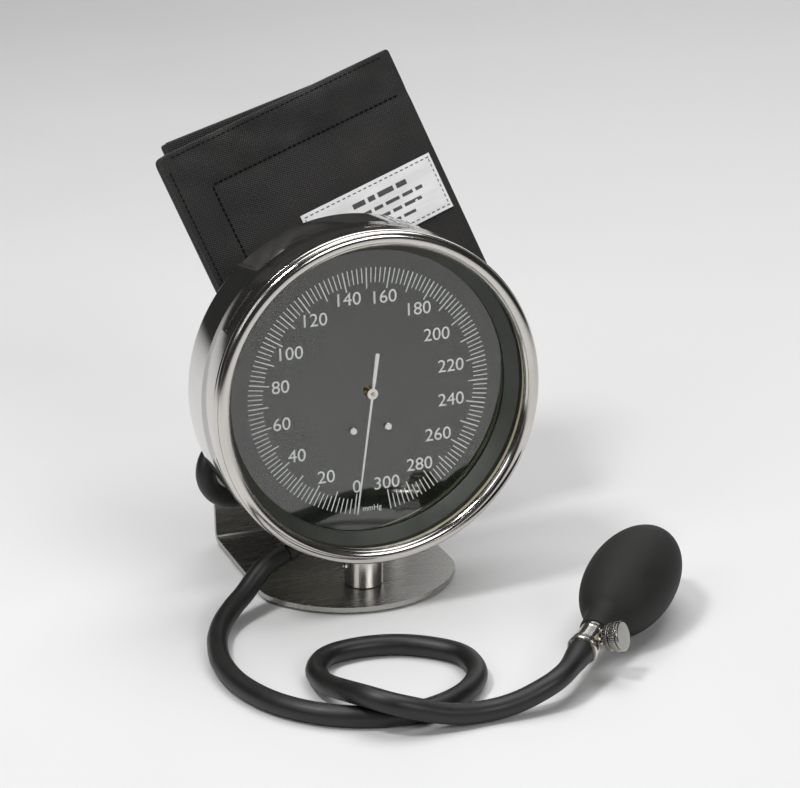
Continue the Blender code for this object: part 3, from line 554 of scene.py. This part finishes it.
def build_window():
    """The flat glass, the rubber seal in front of it and the sloping spacer behind it."""
    profile = [(0, -8.4), (75.9, -8.4), (75.9, -6.4), (0, -6.4)]
    window = lathe("window", profile, "Y", 160, HEAD, GLASS, corner=0.3)
    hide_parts("window_glass")
    profile = [(74.4, -8.5), (73.2, -13.1), (76.2, -13.1), (76.2, -8.5)]
    gasket = lathe("window_seal", profile, "Y", 192, HEAD, CREAM, closed=True, corner=0.25)
    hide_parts("window_gasket")
    profile = [(76.1, -6.1), (73.8, -6.1), (68.4, -1.0), (68.4, -0.3), (76.1, -0.3)]
    spacer = lathe("dial_spacer", profile, "Y", 192, HEAD, SPACER, closed=True, corner=0.2)
    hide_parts("spacer_ring")


def flat_text(words, size, stretch, centre):
    """Flat lettering in the dial's plane round a centre, as (points in x and z, faces)."""
    curve = bpy.data.curves.new("print", "FONT")
    curve.body = words
    curve.size = 1.0
    curve.extrude = 0.0
    obj = bpy.data.objects.new("print", curve)
    bpy.context.scene.collection.objects.link(obj)
    bpy.context.view_layer.update()
    graph = bpy.context.evaluated_depsgraph_get()
    mesh = bpy.data.meshes.new_from_object(obj.evaluated_get(graph))
    xs = [v.co.x for v in mesh.vertices]
    ys = [v.co.y for v in mesh.vertices]
    middle = ((min(xs) + max(xs)) / 2, (min(ys) + max(ys)) / 2)
    verts = [(centre[0] + (x - middle[0]) * size * stretch, centre[1] + (y - middle[1]) * size)
             for x, y in zip(xs, ys)]
    faces = [tuple(p.vertices) for p in mesh.polygons]
    bpy.data.objects.remove(obj, do_unlink=True)
    bpy.data.curves.remove(curve)
    bpy.data.meshes.remove(mesh)
    return verts, faces


PRINT_FRONT = -0.06 * MM
PRINT_THICKNESS = 0.05 * MM


def print_piece(name, parts):
    """White print on the dial as one thin raised mesh. Parts are (points in x and z, faces)."""
    bm = bmesh.new()
    for verts, faces in parts:
        made = [bm.verts.new((x, PRINT_FRONT, z)) for x, z in verts]
        for face in faces:
            bm.faces.new([made[i] for i in face])
    bmesh.ops.remove_doubles(bm, verts=bm.verts, dist=1e-7)
    bmesh.ops.recalc_face_normals(bm, faces=bm.faces)
    for face in bm.faces:
        if face.normal.y > 0:
            face.normal_flip()
    grown = bmesh.ops.extrude_face_region(bm, geom=bm.faces[:], use_keep_orig=True)
    moved = [item for item in grown["geom"] if isinstance(item, bmesh.types.BMVert)]
    bmesh.ops.translate(bm, verts=moved, vec=(0, PRINT_THICKNESS, 0))
    bmesh.ops.recalc_face_normals(bm, faces=bm.faces)
    add_object(name, to_mesh(name, bm), HEAD, ROOT, PRINT)


# Marks on the dial. Each kind has its inner end's radius and half its width
MARKS = 150
MARKS_PER_LONG_ONE = 5
MARK_OUTER_END = 60 * MM
LONG_MARK = (50.1 * MM, 0.27 * MM)
SHORT_MARK = (52.8 * MM, 0.22 * MM)
NUMBER_SIZE = 8.7 * MM
NUMBER_STRETCH = 1.04
# Centre of each number on the dial, in millimetres
NUMBER_SPOTS = {
    0: (-7.7, -45.8), 20: (-22.8, -38.8), 40: (-37, -26.4), 60: (-43.8, -10), 80: (-43.8, 8),
    100: (-38, 23.5), 120: (-25.6, 38), 140: (-8.8, 46), 160: (9, 45.3), 180: (26, 37.6),
    200: (34.5, 24), 220: (41.4, 7.8), 240: (41.2, -8.9), 260: (34.2, -25.4), 280: (24.4, -39),
    300: (7.6, -45.8),
}


def build_dial_print():
    """A mark for every 2 mmHg, a longer one for every 10, a number for every 20, and the unit."""
    ticks = []
    for step in range(MARKS + 1):
        angle = -SWEEP / 2 + SWEEP * step / MARKS
        inner, half = SHORT_MARK if step % MARKS_PER_LONG_ONE else LONG_MARK
        along = Vector((sin(angle), cos(angle)))
        side = Vector((cos(angle), -sin(angle)))
        corners = [along * inner - side * half, along * inner + side * half,
                   along * MARK_OUTER_END + side * half, along * MARK_OUTER_END - side * half]
        ticks.append(([tuple(c) for c in corners], [(0, 1, 2, 3)]))
    print_piece("dial_ticks", ticks)
    words = []
    for number, (x, z) in NUMBER_SPOTS.items():
        words.append(flat_text(str(number), NUMBER_SIZE, NUMBER_STRETCH, (x * MM, z * MM)))
    print_piece("dial_numbers", words)
    print_piece("dial_unit", [flat_text("mmHg", 3.9 * MM, 0.92, (-0.2 * MM, -57.8 * MM))])


def build_pointer():
    """A needle with a round hub and a blunt tail, standing at 0. The dial doesn't mirror it."""
    hub = 2.6 * MM
    outline = [(0.52 * MM, 3 * MM), (0.3 * MM, 57.8 * MM), (0, 59.3 * MM), (-0.3 * MM, 57.8 * MM),
               (-0.52 * MM, 3 * MM)]
    outline += arc((0, 0), hub, radians(102), radians(258), 24)
    outline += [(-0.8 * MM, -6 * MM), (-0.95 * MM, -18.8 * MM), (-0.7 * MM, -19.6 * MM),
                (0.7 * MM, -19.6 * MM), (0.95 * MM, -18.8 * MM), (0.8 * MM, -6 * MM)]
    outline += arc((0, 0), hub, radians(282), radians(438), 24)
    place = HEAD @ Matrix.Rotation(-SWEEP / 2, 4, "Y")
    blade = slab(outline, -4.6 * MM, -4.0 * MM)
    pointer = add_object("pointer_blade", to_mesh("pointer_blade", blade), place, "pointer_shaft", POINTER)
    cut(pointer, cutter(drill(1.0, -6, -2, "Y"), HEAD))
    bevel(pointer, 0.08 * MM, 2)
    pointer.visible_glossy = False
    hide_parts("pointer")


POLE_RADIUS = 9.35
POLE_BORE = 6.9
POLE_FOOT = 4.3
SET_SCREW_HEIGHT = 14 * MM


def build_pole():
    """A tube with a floor for its bolt, a set screw's hole, and a top shaped to the case and bezel."""
    profile = [(2.4, POLE_FOOT), (POLE_RADIUS, POLE_FOOT), (POLE_RADIUS, 30), (POLE_BORE, 30),
               (POLE_BORE, 10), (2.4, 10)]
    pole = lathe("pole_tube", profile, "Z", 96, Matrix(), BRUSHED_POLE, closed=True, corner=0.35)
    cut(pole, cutter(drill(79.35, -10, 40, "Y", 192), HEAD))
    cut(pole, cutter(drill(80.75, -14, 8.4, "Y", 192), HEAD))
    cut(pole, cutter(drill(2.1, -12, 0, "X"), Matrix.Translation((0, 0, SET_SCREW_HEIGHT))))
    bevel(pole, 0.2 * MM, 2, 50)
    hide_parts("pole")


# ---------------------------------------------------------------- bulb and valve

def oval(radius, half, start, end, count):
    """Points along a stretch of an oval. They crowd at its blunt ends, where it turns fastest."""
    turns = [start + (end - start) * i / (count - 1) for i in range(count)]
    return [(radius * cos(a), half * sin(a)) for a in turns]


def build_bulb():
    """A hollow rubber bulb with a neck for the valve and a small opening at its far end."""
    outside = oval(21.2, 42, radians(-82), radians(63.5), 54)
    neck = [(8.6, 39.8), (8.15, 42), (7.8, 45.5), (7.45, 50.6), (7.1, 51.9), (5.7, 51.9), (5.7, 38.2)]
    inside = oval(19, 39.8, radians(66), radians(-73), 30)
    profile = outside + fillet(neck, 0.5) + inside + [(5.0, -39.4), (5.0, -41.4), (5.6, -41.7)]
    bulb = lathe("bulb_body", profile, "Z", 96, VALVE, BULB_RUBBER, closed=True, corner=0, sharp=50)
    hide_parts("bulb")


def build_valve():
    """The barrel between bulb and hose, with a cross hole for the needle, and its barb ring."""
    profile = [(0, 41), (5.3, 41), (5.3, 52.2), (6.6, 52.2), (6.6, 55.4), (6.35, 55.7), (6.35, 56.1),
               (6.6, 56.4), (6.6, 64.0), (7.3, 64.5), (7.3, 67.9), (6.7, 68.4), (5.3, 67.5), (0, 67.5)]
    body = lathe("valve_barrel", profile, "Z", 96, VALVE, NICKEL, corner=0.25)
    cut(body, cutter(drill(2.2, 0.4, 9, "X"), KNOB))
    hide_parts("valve_body")
    profile = [(0, 67.8), (5.0, 67.8), (5.0, 69.4), (0, 69.4)]
    barb = lathe("barb_ring", profile, "Z", 96, VALVE, NICKEL, corner=0.35)
    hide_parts("hose_barb")


# Ribs round the knob, and the stretches of its axis that carry them
KNOB_RIBS = 48
KNOB_RIB_DEPTH = 0.09 * MM
RIBBED_BANDS = ((9.55, 11.55), (12.9, 15.45))


def build_knob():
    """The release knob: a collar, a wider grip and a cap. The collar and the grip are ribbed."""
    profile = [(0, 12.5), (2.1, 12.5), (2.1, 9.1), (5.4, 9.1), (6.35, 9.6), (6.35, 10.2), (6.35, 10.9),
               (6.35, 11.5), (5.5, 12.0), (5.5, 12.5), (7.0, 13.0), (7.0, 13.6), (7.0, 14.2),
               (7.0, 14.8), (7.0, 15.4), (6.2, 15.8), (6.2, 16.0), (6.95, 16.3), (6.95, 16.9),
               (6.3, 17.4), (0, 17.4)]
    bm = spin(fillet(profile, 0.16), "X", KNOB_RIBS * 4, False)
    for vert in bm.verts:
        along = vert.co.x / MM
        radius = hypot(vert.co.y, vert.co.z)
        ribbed = any(low < along < high for low, high in RIBBED_BANDS)
        if ribbed and radius > 6.1 * MM:
            angle = atan2(vert.co.y, vert.co.z)
            factor = 1 - KNOB_RIB_DEPTH * (0.5 + 0.5 * cos(KNOB_RIBS * angle)) / radius
            vert.co.y *= factor
            vert.co.z *= factor
    knob = add_object("release_knob", to_mesh("release_knob", bm), KNOB, "knob", SHADED_KNOB_NICKEL, 24)
    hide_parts("valve_knob")


# ---------------------------------------------------------------- cuff

# Sewn lines on the front packet, in millimetres in the cuff's plane
SEAMS = [((-15.6, 89.1), (96.7, 89.1)), ((-15.8, 89.1), (-15.8, -49))]
# The swelling: its pressure, how far a point may move, and the frame that is kept
INNER_PRESSURE = 3.0
LARGEST_SWELL = 1.3 * MM
LAST_FRAME = 18


def to_segment(x, z, start, end):
    """Distance from a point to a segment, in the cuff's plane."""
    a = Vector(start)
    b = Vector(end)
    p = Vector((x, z))
    t = max(0.0, min(1.0, (p - a).dot(b - a) / (b - a).length_squared))
    return (p - (a + (b - a) * t)).length


def simulate(obj, pinned):
    """Let the fabric swell a little under inner pressure, with its seams and edges held."""
    rest = [v.co.copy() for v in obj.data.vertices]
    group = obj.vertex_groups.new(name="seams")
    group.add(pinned, 1.0, "REPLACE")
    modifier = obj.modifiers.new("cloth", "CLOTH")
    settings = modifier.settings
    settings.quality = 6
    settings.mass = 0.25
    settings.tension_stiffness = 40
    settings.compression_stiffness = 40
    settings.shear_stiffness = 12
    settings.bending_stiffness = 2.5
    settings.use_pressure = True
    settings.uniform_pressure_force = INNER_PRESSURE
    settings.vertex_group_mass = "seams"
    settings.effector_weights.gravity = 0
    scene = bpy.context.scene
    for step in range(1, LAST_FRAME + 1):
        scene.frame_set(step)
    graph = bpy.context.evaluated_depsgraph_get()
    settled = obj.evaluated_get(graph).data
    moved = [v.co.copy() for v in settled.vertices]
    obj.modifiers.clear()
    scene.frame_set(1)
    for vert, before, after in zip(obj.data.vertices, rest, moved):
        shift = after - before
        if shift.length > LARGEST_SWELL:
            shift = shift.normalized() * LARGEST_SWELL
        vert.co = before + shift
    obj.data.update()


CELLS_ACROSS = 46
CELLS_UP = 56
# Section of a packet's edge, layer by layer: how far in from the outline, and the share of its depth
LAYERS = [(0.7, 0.0), (0.1, 0.02), (0.0, 0.06), (0.1, 0.11), (1.6, 0.17), (2.2, 0.27), (1.5, 0.36),
          (0.5, 0.42), (0.5, 0.5), (1.9, 0.58), (1.9, 0.68), (0.6, 0.76), (0.4, 0.94), (1.0, 1.0)]


def packet_mesh(name, corners, front, rear, rounding):
    """A folded cloth packet between two depths: two panels and a rim that shows its layers.

    The corners run from low left round by low right. Only the high left one can be rounded.
    """
    low_left, low_right, high_right, high_left = (Vector(c) for c in corners)
    width = (high_right - high_left).length
    height = (high_left - low_left).length
    centre = Vector((high_left.x + rounding, high_left.y - rounding))

    def spot(u, v, inset):
        u = (inset + u * (width - 2 * inset)) / width
        v = (inset + v * (height - 2 * inset)) / height
        point = low_left.lerp(low_right, u).lerp(high_left.lerp(high_right, u), v)
        away = point - centre
        if rounding and away.x < 0 < away.y:
            away *= max(-away.x, away.y) / away.length
            point = centre + away
        return point

    bm = bmesh.new()

    def add(u, v, inset, share):
        point = spot(u, v, inset)
        depth = front + (rear - front) * share
        return bm.verts.new((point.x * MM, depth * MM, point.y * MM))

    us = [i / CELLS_ACROSS for i in range(CELLS_ACROSS + 1)]
    vs = [j / CELLS_UP for j in range(CELLS_UP + 1)]
    rim = [(u, 0) for u in us[:-1]] + [(1, v) for v in vs[:-1]]
    rim += [(u, 1) for u in us[:0:-1]] + [(0, v) for v in vs[:0:-1]]
    rings = [[add(u, v, inset, share) for u, v in rim] for inset, share in LAYERS]
    for one, two in zip(rings, rings[1:]):
        for k in range(len(rim)):
            n = (k + 1) % len(rim)
            bm.faces.new((one[k], one[n], two[n], two[k]))
    for ring, inset, share in ((rings[0], *LAYERS[0]), (rings[-1], *LAYERS[-1])):
        at_rim = {(round(u * CELLS_ACROSS), round(v * CELLS_UP)): vert for (u, v), vert in zip(rim, ring)}
        grid = {}
        for j, v in enumerate(vs):
            for i, u in enumerate(us):
                grid[i, j] = at_rim.get((i, j)) or add(u, v, inset, share)
        for j in range(CELLS_UP):
            for i in range(CELLS_ACROSS):
                bm.faces.new((grid[i, j], grid[i + 1, j], grid[i + 1, j + 1], grid[i, j + 1]))
    bmesh.ops.recalc_face_normals(bm, faces=bm.faces)
    return to_mesh(name, bm)


# A seam draws the cloth in over its reach. Points near a seam or an edge are held while it swells
SEAM_REACH = 4.5
SEAM_DEPTH = 0.75 * MM
HELD_NEAR_SEAM = 1.8
HELD_NEAR_EDGE = 2.6
DEEPEST_CREASE = 1.1


def soft_creases(x, y, z, seed):
    """Long shallow creases with shorter ones over them, in millimetres."""
    long_ones = noise.noise(Vector((x * 0.022 + seed, z * 0.03, y * 0.02))) * 0.9
    return long_ones + noise.noise(Vector((x * 0.06 + seed, z * 0.08, 4))) * 0.35


def puckers(x, z):
    """Stronger creases in the band between the upper seam and the top edge, in millimetres."""
    band = min(1.0, max(0.0, min((z - 89) / 6, (111 - z) / 4, (x + 34) / 7, (96 - x) / 7)))
    return band * 2.0 * noise.noise(Vector((x * 0.05 + 3.1, z * 0.06 + x * 0.02, 8)))


def fabric(name, corners, front, rear, seams, seed, cad_node, rounding=0.0):
    """A folded cloth packet with crisp edges, sewn channels and soft creases."""
    mesh = packet_mesh(name, corners, front, rear, rounding)
    obj = add_object(name, mesh, CUFF, ROOT, CLOTH, 180)
    middle = (front + rear) / 2
    left = min(c[0] for c in corners)
    right = max(c[0] for c in corners)
    low = min(c[1] for c in corners)
    high = min(corners[2][1], corners[3][1])
    pinned = []
    inner = {}
    for vert in mesh.vertices:
        x, y, z = (c / MM for c in vert.co)
        edge = min(x - left, right - x, z - low, high - z)
        inner[vert.index] = max(0.0, min(1.0, (edge - 2) / 14))
        near = min([to_segment(x, z, a, b) for a, b in seams] or [99])
        on_rim = front + 0.01 <= y <= rear - 0.01
        if near < HELD_NEAR_SEAM or edge < HELD_NEAR_EDGE or on_rim:
            pinned.append(vert.index)
        if near < SEAM_REACH and y < middle:
            vert.co.y += SEAM_DEPTH * (1 - near / SEAM_REACH) ** 2
    simulate(obj, pinned)
    for vert in mesh.vertices:
        x, y, z = (c / MM for c in vert.co)
        crease = soft_creases(x, y, z, seed) * inner[vert.index]
        if seams and y < middle:
            crease += puckers(x, z)
        vert.co.y += max(-DEEPEST_CREASE, min(DEEPEST_CREASE, crease)) * MM
    mesh.update()
    refine = obj.modifiers.new("subdivide", "SUBSURF")
    refine.levels = 1
    refine.render_levels = 1
    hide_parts(cad_node)
    return obj


def surface_of(obj):
    """A search tree of the piece's refined surface, in the cuff's frame."""
    bpy.context.view_layer.update()
    graph = bpy.context.evaluated_depsgraph_get()
    return BVHTree.FromObject(obj, graph)


def depth_at(tree, x, z):
    """Depth of the front surface at a place in the cuff's plane. Everything in metres."""
    hit = tree.ray_cast(Vector((x, -20 * MM, z)), Vector((0, 1, 0)))[0]
    return hit.y if hit else 0.0


STITCH_PITCH = 2.8
STITCH_LENGTH = 2.3
STITCH_SIDES = 6
# Rings along a stitch: place from its middle to its end, and share of its full thickness
STITCH_RINGS = ((-1, 0.35), (-0.6, 0.9), (0, 1.0), (0.6, 0.9), (1, 0.35))


def build_stitches(name, tree, lines):
    """Rows of thread, each stitch a small rounded bead lying on the cloth.

    A line has its start, its end and its thread's width.
    """
    bm = bmesh.new()
    for start, end, width in lines:
        a = Vector(start)
        b = Vector(end)
        along = (b - a).normalized()
        side = Vector((-along.y, along.x))
        count = int((b - a).length / STITCH_PITCH)
        for i in range(count):
            middle = a + along * (STITCH_PITCH * (i + 0.5))
            base = depth_at(tree, middle.x * MM, middle.y * MM)
            rings = []
            for part, size in STITCH_RINGS:
                ring = []
                for k in range(STITCH_SIDES):
                    turn = 2 * pi * k / STITCH_SIDES
                    offset = side * (width / 2 * size * cos(turn))
                    spot = middle + along * (STITCH_LENGTH / 2 * part) + offset
                    lift = width * 0.32 * size * sin(turn) - 0.12
                    ring.append(bm.verts.new((spot.x * MM, base + lift * MM, spot.y * MM)))
                rings.append(ring)
            for one, two in zip(rings, rings[1:]):
                for k in range(STITCH_SIDES):
                    n = (k + 1) % STITCH_SIDES
                    bm.faces.new((one[k], one[n], two[n], two[k]))
            bm.faces.new(rings[0])
            bm.faces.new(rings[-1])
    bmesh.ops.recalc_face_normals(bm, faces=bm.faces)
    add_object(name, to_mesh(name, bm), CUFF, ROOT, THREAD, 60)


# The label's low left and high right corners, and how far its faces stand off the cloth
LABEL_LOW = (17.4, 27.2)
LABEL_HIGH = (93.0, 56.7)
LABEL_FACES = (-0.75, -0.35)


def build_label(tree):
    """A woven label, sewn on round its edge, that follows the cloth under it."""
    across = 60
    up = 24
    bm = bmesh.new()
    sides = []
    for lift in LABEL_FACES:
        grid = []
        for j in range(up + 1):
            row = []
            for i in range(across + 1):
                x = LABEL_LOW[0] + (LABEL_HIGH[0] - LABEL_LOW[0]) * i / across
                z = LABEL_LOW[1] + (LABEL_HIGH[1] - LABEL_LOW[1]) * j / up
                edge = min(i, across - i, j * 1.6, (up - j) * 1.6) / 6
                puff = 0.25 * min(1.0, edge) * (0.7 + 0.5 * noise.noise(Vector((x * 0.09, z * 0.12, 3))))
                depth = depth_at(tree, x * MM, z * MM) + (lift - puff) * MM
                row.append(bm.verts.new((x * MM, depth, z * MM)))
            grid.append(row)
        sides.append(grid)
    for grid in sides:
        for one, two in zip(grid, grid[1:]):
            for i in range(across):
                bm.faces.new((one[i], one[i + 1], two[i + 1], two[i]))
    rims = []
    for grid in sides:
        rim = grid[0][:-1] + [row[-1] for row in grid[:-1]] + grid[-1][:0:-1]
        rims.append(rim + [row[0] for row in grid[:0:-1]])
    for k in range(len(rims[0])):
        n = (k + 1) % len(rims[0])
        bm.faces.new((rims[0][k], rims[0][n], rims[1][n], rims[1][k]))
    bmesh.ops.recalc_face_normals(bm, faces=bm.faces)
    label = add_object("cuff_label_cloth", to_mesh("cuff_label_cloth", bm), CUFF, ROOT, SATIN, 60)
    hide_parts("cuff_label")
    return label


DASH_LENGTH = 1.7
DASH_WIDTH = 0.55
BAR_GAP = 1.8
# Lines of bars on the label: height, left end, lengths of the bars and their thickness
LABEL_LINES = ((49.0, 44, (7, 4, 9, 6), 2.6), (43.4, 40, (12, 5, 8, 6, 4), 1.7),
               (38.6, 44, (6, 9, 5, 10), 1.7), (34.0, 50, (8, 5, 7), 1.5))


def build_label_print(tree):
    """A dashed border and plain bars in place of words."""
    marks = []

    def mark(x, z, wide, tall):
        marks.append((x - wide / 2, z - tall / 2, x + wide / 2, z + tall / 2))

    for k in range(24):
        x = 19.9 + 3.09 * k
        mark(x, 54.9, DASH_LENGTH, DASH_WIDTH)
        mark(x, 29.0, DASH_LENGTH, DASH_WIDTH)
    for k in range(9):
        z = 31.2 + 2.75 * k
        mark(19.0, z, 0.5, 1.4)
        mark(91.4, z, 0.5, 1.4)
    for z, x, lengths, tall in LABEL_LINES:
        for wide in lengths:
            mark(x + wide / 2, z, wide, tall)
            x += wide + BAR_GAP
    bm = bmesh.new()
    for x0, z0, x1, z1 in marks:
        corners = []
        for lift in (0, 0.05):
            for x, z in ((x0, z0), (x1, z0), (x1, z1), (x0, z1)):
                depth = depth_at(tree, x * MM, z * MM) - (0.06 - lift) * MM
                corners.append(bm.verts.new((x * MM, depth, z * MM)))
        bm.faces.new(corners[:4])
        bm.faces.new(corners[4:])
        for k in range(4):
            n = (k + 1) % 4
            bm.faces.new((corners[k], corners[n], corners[n + 4], corners[k + 4]))
    bmesh.ops.recalc_face_normals(bm, faces=bm.faces)
    add_object("cuff_label_print", to_mesh("cuff_label_print", bm), CUFF, ROOT, INK, 30)


def build_cuff():
    """Two folded packets, then the thread and the label that lie on the front one."""
    corners = [(-35.2, -49.5), (97, -49.5), (97, 112.2), (-35.2, 112.2)]
    front = fabric("cuff_front_cloth", corners, 0, 11, SEAMS, 1.7, "cuff_front_fold", 3.4)
    corners = [(-24, -46), (94, -46), (95.6, 109.6), (-24.6, 117)]
    fabric("cuff_back_cloth", corners, 15.1, 25.6, [], 5.3, "cuff_back_fold")
    tree = surface_of(front)
    rows = [((-15.2, 89.1), (94, 89.1), 1.0), ((-15.8, 88.6), (-15.8, -42), 1.0),
            ((-32.4, -42), (-32.4, 105), 0.6), ((-29, 109.6), (94, 109.6), 0.5)]
    build_stitches("cuff_stitching", tree, rows)
    label = build_label(tree)
    build_label_print(surface_of(label))


# ---------------------------------------------------------------- finishes of the frame's own bodies

OWN_LOOKS = {
    BRUSHED: ["base_plate"],
    PAD: ["base_pad"],
    TRAY: ["cuff_tray"],
    POLISHED: ["pole_bolt", "pole_set_screw", "tray_screw_left", "tray_screw_right", "dial_screw_left",
               "dial_screw_right", "sector_arbor", "link", "crank_pin", "bulb_inlet_valve", "inlet_ball",
               "valve_gland"],
    DIAL: ["dial_plate"],
    PLASTIC: ["bulb_hose_nipple", "cuff_hose_nipple"],
    SPRING: ["hairspring"],
    HOSE_RUBBER: ["cuff_bladder"],
}


def finish_frame_bodies():
    """Looks for the pieces that are drawn by the frame's own bodies. Brass, where none is named."""
    named = {name: look for look, names in OWN_LOOKS.items() for name in names}
    for name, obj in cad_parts.items():
        if obj.hide_render:
            continue
        obj.data.materials.clear()
        obj.data.materials.append(named.get(name, BRASS))
    bevel(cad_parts["base_plate"], 0.45 * MM, 3)
    bevel(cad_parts["cuff_tray"], 0.3 * MM, 2)


# ---------------------------------------------------------------- studio

def build_floor():
    """A wide sheet of pale paper."""
    bm = bmesh.new()
    bmesh.ops.create_grid(bm, x_segments=8, y_segments=8, size=4.5)
    mesh = to_mesh("floor", bm)
    floor = bpy.data.objects.new("floor", mesh)
    bpy.context.scene.collection.objects.link(floor)
    mesh.materials.append(surface("floor_paper", (0.80, 0.80, 0.80), (0.815, 0.815, 0.815),
                                  (0.55, 0.65), 3, bump=0))


def softbox(name, spot, target, size, power):
    """A soft rectangular light, turned towards its target."""
    light = bpy.data.lights.new(name, "AREA")
    light.shape = "RECTANGLE"
    light.size = size[0]
    light.size_y = size[1]
    light.energy = power
    obj = bpy.data.objects.new(name, light)
    bpy.context.scene.collection.objects.link(obj)
    obj.location = spot
    obj.rotation_mode = "QUATERNION"
    obj.rotation_quaternion = (Vector(target) - Vector(spot)).to_track_quat("-Z", "Y")


def build_world():
    """Pale where the camera looks straight at it, dim in reflections."""
    world = bpy.data.worlds.new("studio")
    bpy.context.scene.world = world
    world.use_nodes = True
    tree = world.node_tree
    tree.nodes.clear()
    paths = tree.nodes.new("ShaderNodeLightPath")
    seen = node(tree, "ShaderNodeBackground", Color=(0.80, 0.80, 0.80, 1), Strength=1.0)
    unseen = node(tree, "ShaderNodeBackground", Color=(0.03, 0.03, 0.03, 1), Strength=1.0)
    mix = tree.nodes.new("ShaderNodeMixShader")
    output = tree.nodes.new("ShaderNodeOutputWorld")
    tree.links.new(paths.outputs["Is Camera Ray"], mix.inputs[0])
    tree.links.new(unseen.outputs[0], mix.inputs[1])
    tree.links.new(seen.outputs[0], mix.inputs[2])
    tree.links.new(mix.outputs[0], output.inputs["Surface"])


def build_lights():
    """One large light overhead, and five others for shadows, edges and highlights."""
    softbox("overhead", (0.4, 0.36, 2.0), (0.25, 0.2, 0), (1.8, 1.6), 28)
    softbox("sun_window", (-0.72, -0.2, 1.45), (0.05, -0.05, 0), (0.3, 0.3), 10)
    softbox("key", (-1.5, -0.75, 1.25), (0, -0.05, 0.05), (0.8, 0.8), 6)
    softbox("fill", (0.6, -2.2, 1.5), (0, 0, 0.05), (1.2, 0.8), 17)
    softbox("rear_right", (1.7, 2.0, 1.1), (0.4, 0.8, 0.0), (1.6, 1.2), 8)
    softbox("rear_panel", (-0.42, 2.3, 1.32), (0, 0, 0.15), (0.62, 0.42), 0.45)


build_case()
build_bezel()
build_window()
build_dial_print()
build_pointer()
build_pole()
build_bulb()
build_valve()
build_knob()
build_cuff()
finish_frame_bodies()
bulb_hose.data.materials.append(HOSE_RUBBER)
cuff_hose.data.materials.append(HOSE_RUBBER)
build_floor()
build_lights()
bpy.context.scene.view_settings.view_transform = "Standard"
build_world()
